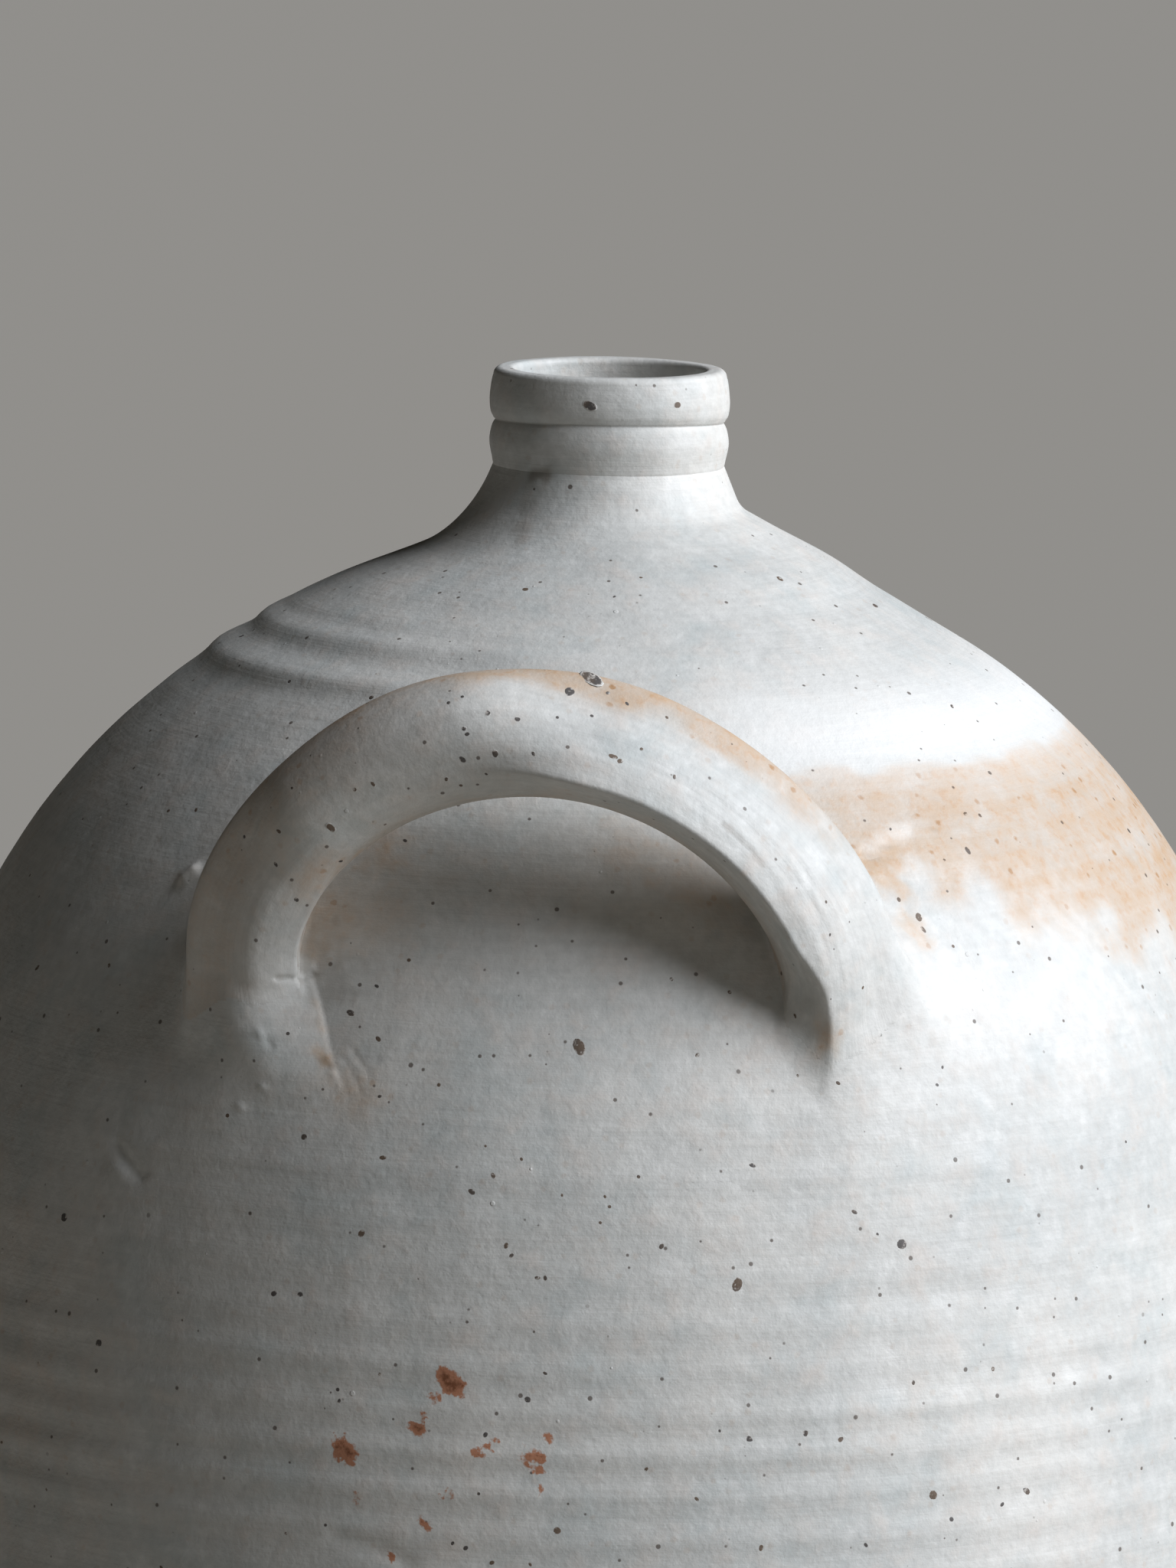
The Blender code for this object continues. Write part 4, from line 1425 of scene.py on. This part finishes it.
# The clay's patterns: the middle size of their grains in mm, and their detail. The last two run with the
# turning or the pull. The finest grit is drawn coarser than the real one, so that it shows.
PATTERNS = {
    "cloud": (48, 4),
    "mottle": (7, 5),
    "tint": (15, 3),
    "grit": (2.2, 3),
    "fine": (0.9, 2),
    "lines": (1.5, 4),
    "broad lines": (5, 2),
}
# Cells with one iron or ochre dot in some of them: the cells' size in mm
DOT_CELLS = {"iron": 3.6, "ochre": 4}

# The clay's colour and relief as steps: the result, what makes it, and its inputs. RANGE takes a value,
# its two ends and what they become. MIX and TINT take an amount and two colours. OVER lays a colour over
# the one before, by such a range.
BODY = [
    ("share", "RANGE", "cloud", 0.35, 0.65),
    ("look", "MIX", "share", "#BFC0BC", "#D1CFC9"),
    ("look", "OVER", "#CFC4BA", "mottle", 0.5, 0.72, 0, 0.45),
    ("look", "OVER", "#B4BBB9", "tint", 0.52, 0.7, 0, 0.5),
    ("look", "OVER", "#DCDBD7", "mottle", 0.48, 0.3, 0, 0.4),
    ("shade", "RANGE", "lines", 0.3, 0.7, "least shade", "most shade"),
    ("gritty", "RANGE", "grit", 0.3, 0.7, 0.93, 1.05),
    ("shade", "MULTIPLY", "shade", "gritty"),
    ("look", "TINT", 1.0, "look", "shade"),
]
# Orange flashing, and the painted shade low on the jug's left, which takes the same colours
FLASHING_AND_SHADE = [
    ("share", "RANGE", "mottle", 0.35, 0.65, 0.6, 0.95),
    ("flashed", "MULTIPLY", "flash", "share"),
    ("share", "RANGE", "broad lines", 0.35, 0.65, 0.75, 1.1),
    ("flashed", "MULTIPLY", "flashed", "share"),
    ("look", "MIX", "flashed", "look", "#BFA283"),
    ("share", "RANGE", "grit", 0.5, 0.66, 0, 0.55),
    ("share", "MULTIPLY", "flashed", "share"),
    ("look", "MIX", "share", "look", "#B98C5E"),
    ("ragged", "RANGE", "fine", 0, 1, -0.12, 0.12),
    ("edge", "ADD", "ochre distance", "ragged"),
    ("dot", "RANGE", "edge", 0.22, 0.12),
    ("chosen", "RANGE", "ochre choice", 0.5, 0.52),
    ("dot", "MULTIPLY", "dot", "chosen"),
    ("share", "RANGE", "flash", 0, 1, 0.12, 0.82),
    ("share", "MULTIPLY", "dot", "share"),
    ("look", "MIX", "share", "look", "#A67A4B"),
]
ASH_HIGHLIGHT_AND_DOTS = [
    # F1F0EC whitens the clay: the whiter band at the neck's foot, and painted highlights on the lit right
    ("look", "OVER", "#F1F0EC", "ash", 0, 1, 0, 0.8),
    ("size", "RANGE", "iron size", 0, 1, 0.05, 0.17),
    ("inside", "SUBTRACT", "size", "iron distance"),
    ("speck", "RANGE", "inside", 0, 0.05),
    ("chosen", "RANGE", "iron choice", 0.62, 0.64),
    ("speck", "MULTIPLY", "speck", "chosen"),
    ("look", "OVER", "#4C3E33", "speck", 0, 1, 0, 0.8),
]
STAINS_AND_PAINTED_SHADE = [
    # 66523A browns the neck's real stain, and paints shade in grooves and round the handle's roots
    ("look", "OVER", "#66523A", "brown", 0.1, 0.8, 0, 0.8),
    ("ragged", "RANGE", "grit", 0.3, 0.7, -0.18, 0.18),
    ("edge", "ADD", "rust", "ragged"),
    ("ragged", "RANGE", "fine", 0.3, 0.7, -0.14, 0.14),
    ("edge", "ADD", "edge", "ragged"),
    ("look", "OVER", "#A9622F", "edge", 0.33, 0.5, 0, 0.85),
    ("edge", "ADD", "rust", "fine"),
    ("look", "OVER", "#6A3A1A", "edge", 1.2, 1.5, 0, 0.85),
    ("look", "OVER", "#B39D83", "bare", 0, 1, 0, 0.85),
]
MELTED_IRON = [
    ("ragged", "RANGE", "fine", 0.3, 0.7, -0.7, 0.7),
    ("ragged", "MULTIPLY", "iron", "ragged"),
    ("iron", "ADD", "iron", "ragged"),
    ("look", "OVER", "#8C7460", "iron", 0.1, 0.45, 0, 0.4),
    ("share", "RANGE", "tint", 0.45, 0.55),
    ("melted", "MIX", "share", "#34302F", "#57432F"),
    ("look", "OVER", "melted", "iron", 0.35, 0.75, 0, 0.88),
]
SURFACE = [
    ("roughness", "RANGE", "mottle", 0.3, 0.7, 0.5, 0.68),
    ("grain", "RANGE", "inside", 0, 0.06),
    ("chosen", "RANGE", "iron grain", 0.9, 0.92),
    ("grain", "MULTIPLY", "grain", "chosen"),
    ("relief", "MULTIPLY", "mottle", 0.26),
]
# How far each pattern stands out of the clay, in mm
RELIEF = {"lines": 0.08, "grit": 0.09, "fine": 0.04, "speck": -0.03, "grain": 0.1}
for pattern, rise in RELIEF.items():
    SURFACE += [("rise", "MULTIPLY", pattern, rise), ("relief", "ADD", "relief", "rise")]


def follow(tree, given, steps):
    """Adds the nodes of some steps in turn, each of which may use what is given or made before it."""
    for result, operation, *values in steps:
        if operation == "OVER":
            over, *span = values
            follow(tree, given, [("share", "RANGE", *span), (result, "MIX", "share", result, over)])
            continue
        values = [(*colour(v), 1) if str(v)[0] == "#" else given.get(v, v) for v in values]
        if operation == "RANGE":
            names = ("Value", "From Min", "From Max", "To Min", "To Max")
            given[result] = add(tree, "ShaderNodeMapRange", zip(names, values))
        elif operation in ("MIX", "TINT"):
            blend = {"data_type": "RGBA", "blend_type": "MULTIPLY" if operation == "TINT" else "MIX"}
            given[result] = add(tree, "ShaderNodeMix", zip((0, 6, 7), values), **blend).outputs[2]
        else:
            given[result] = add(tree, "ShaderNodeMath", enumerate(values), operation=operation)


def stoneware(name, line_strength):
    """Reduction-fired stoneware with a thin ash skin: pale grey, soft satin, mottled and speckled."""
    material = bpy.data.materials.new(name)
    material.use_nodes = True
    tree = material.node_tree
    tree.nodes.clear()
    place = add(tree, "ShaderNodeTexCoord").outputs["Object"]
    along = add(tree, "ShaderNodeAttribute", attribute_name="grain").outputs["Vector"]
    given = {"least shade": 1 - line_strength, "most shade": 1 + line_strength}
    for label in ("flash", "ash", "brown", "rust", "bare", "iron"):
        given[label] = add(tree, "ShaderNodeAttribute", attribute_name=label).outputs["Fac"]
    for label, (size, detail) in PATTERNS.items():
        inputs = {"Vector": along if "lines" in label else place, "Scale": 1 / (size * MM)}
        inputs |= {"Detail": detail, "Roughness": 0.6}
        given[label] = add(tree, "ShaderNodeTexNoise", inputs)
    for label, size in DOT_CELLS.items():
        cells = add(tree, "ShaderNodeTexVoronoi", {"Vector": place, "Scale": 1 / (size * MM)}).outputs
        draws = add(tree, "ShaderNodeSeparateColor", {0: cells["Color"]}).outputs
        given |= {label + " distance": cells["Distance"], label + " choice": draws[0]}
        given |= {label + " size": draws[1], label + " grain": draws[2]}
    for steps in (BODY, FLASHING_AND_SHADE, ASH_HIGHLIGHT_AND_DOTS, STAINS_AND_PAINTED_SHADE, MELTED_IRON, SURFACE):
        follow(tree, given, steps)
    bump = add(tree, "ShaderNodeBump", {"Height": given["relief"], "Distance": MM, "Strength": 1.0})
    finish = {"Base Color": given["look"], "Roughness": given["roughness"], "Normal": bump, "IOR": 1.5}
    add(tree, "ShaderNodeOutputMaterial", {"Surface": add(tree, "ShaderNodeBsdfPrincipled", finish)})
    return material


def flat_material(name, code, roughness):
    """A plain material of one colour."""
    material = bpy.data.materials.new(name)
    material.use_nodes = True
    shader = material.node_tree.nodes["Principled BSDF"]
    shader.inputs["Base Color"].default_value = (*colour(code), 1)
    shader.inputs["Roughness"].default_value = roughness
    return material


camera = photo_camera()
PAD_EDGE += pad_edge(camera)
for half_width, depth, pixels in MARKS:
    places = np.array([met(camera, pixel, clay_gap) for pixel in pixels])
    SCORED.append((half_width * MM, depth * MM, places))
bpy.context.scene.view_settings.view_transform = "Standard"

# Thrown clay under its ash skin: satin, with faint lines round the jug
ash_skinned = stoneware("ash_skinned_stoneware", 0.035)
# Clay pulled by a wet hand: stronger lines, which run along the bow
pulled = stoneware("pulled_stoneware", 0.05)
# The cut foot, which no ash reached: plain, with the faintest lines, and browner at its edge
bare = stoneware("bare_stoneware", 0.02)
pieces = wall_pieces({**dict.fromkeys(WALL_NAMES, ash_skinned), "base_slab": bare})
pieces["left_handle_root"] = root_piece("left_handle_root", -1, ash_skinned)
pieces["right_handle_root"] = root_piece("right_handle_root", 1, ash_skinned)
pieces["carrying_handle"] = handle_piece(pulled)
pieces["mouth_collar"] = mouth_collar(ash_skinned)

trees = bvh_trees(pieces.values())
strokes = []
for attribute_name, half_width, strength, pixels in STROKES:
    places = np.array([cast(trees, *sight(camera, pixel))[0] for pixel in pixels])
    strokes.append((attribute_name, half_width, strength, places))
specks = iron_specks(trees, camera, ash_skinned)
for name, piece in pieces.items():
    piece.name = name + "_clay"
    dress(piece, strokes)
dress(specks, strokes)

# Floor of matt paper, which gives no highlight, a broad soft light from the right, and a faint fill
floor_half = 9
floor_mesh = bpy.data.meshes.new("floor")
corners = [(-1, -1), (1, -1), (1, 1), (-1, 1)]
floor_mesh.from_pydata([(x * floor_half, y * floor_half, 0) for x, y in corners], [], [(0, 1, 2, 3)])
floor_mesh.materials.append(flat_material("matt_paper_floor", "#9C978E", 0.9))
floor = in_scene("floor", floor_mesh)

sun = bpy.data.lights.new("sun", "SUN")
sun.energy = 5.25
sun.color = (0.895, 0.93, 1.0)
sun.angle = 48 * DEG
in_scene("sun", sun).rotation_euler = Euler((57 * DEG, 0, 80 * DEG))

world = bpy.data.worlds.new("fill")
world.use_nodes = True
world.node_tree.nodes["Background"].inputs["Color"].default_value = (*colour("#C2B79C"), 1)
world.node_tree.nodes["Background"].inputs["Strength"].default_value = 0.02
bpy.context.scene.world = world

for name, piece in pieces.items():
    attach(piece, "root")
    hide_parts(name)
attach(specks, "root")
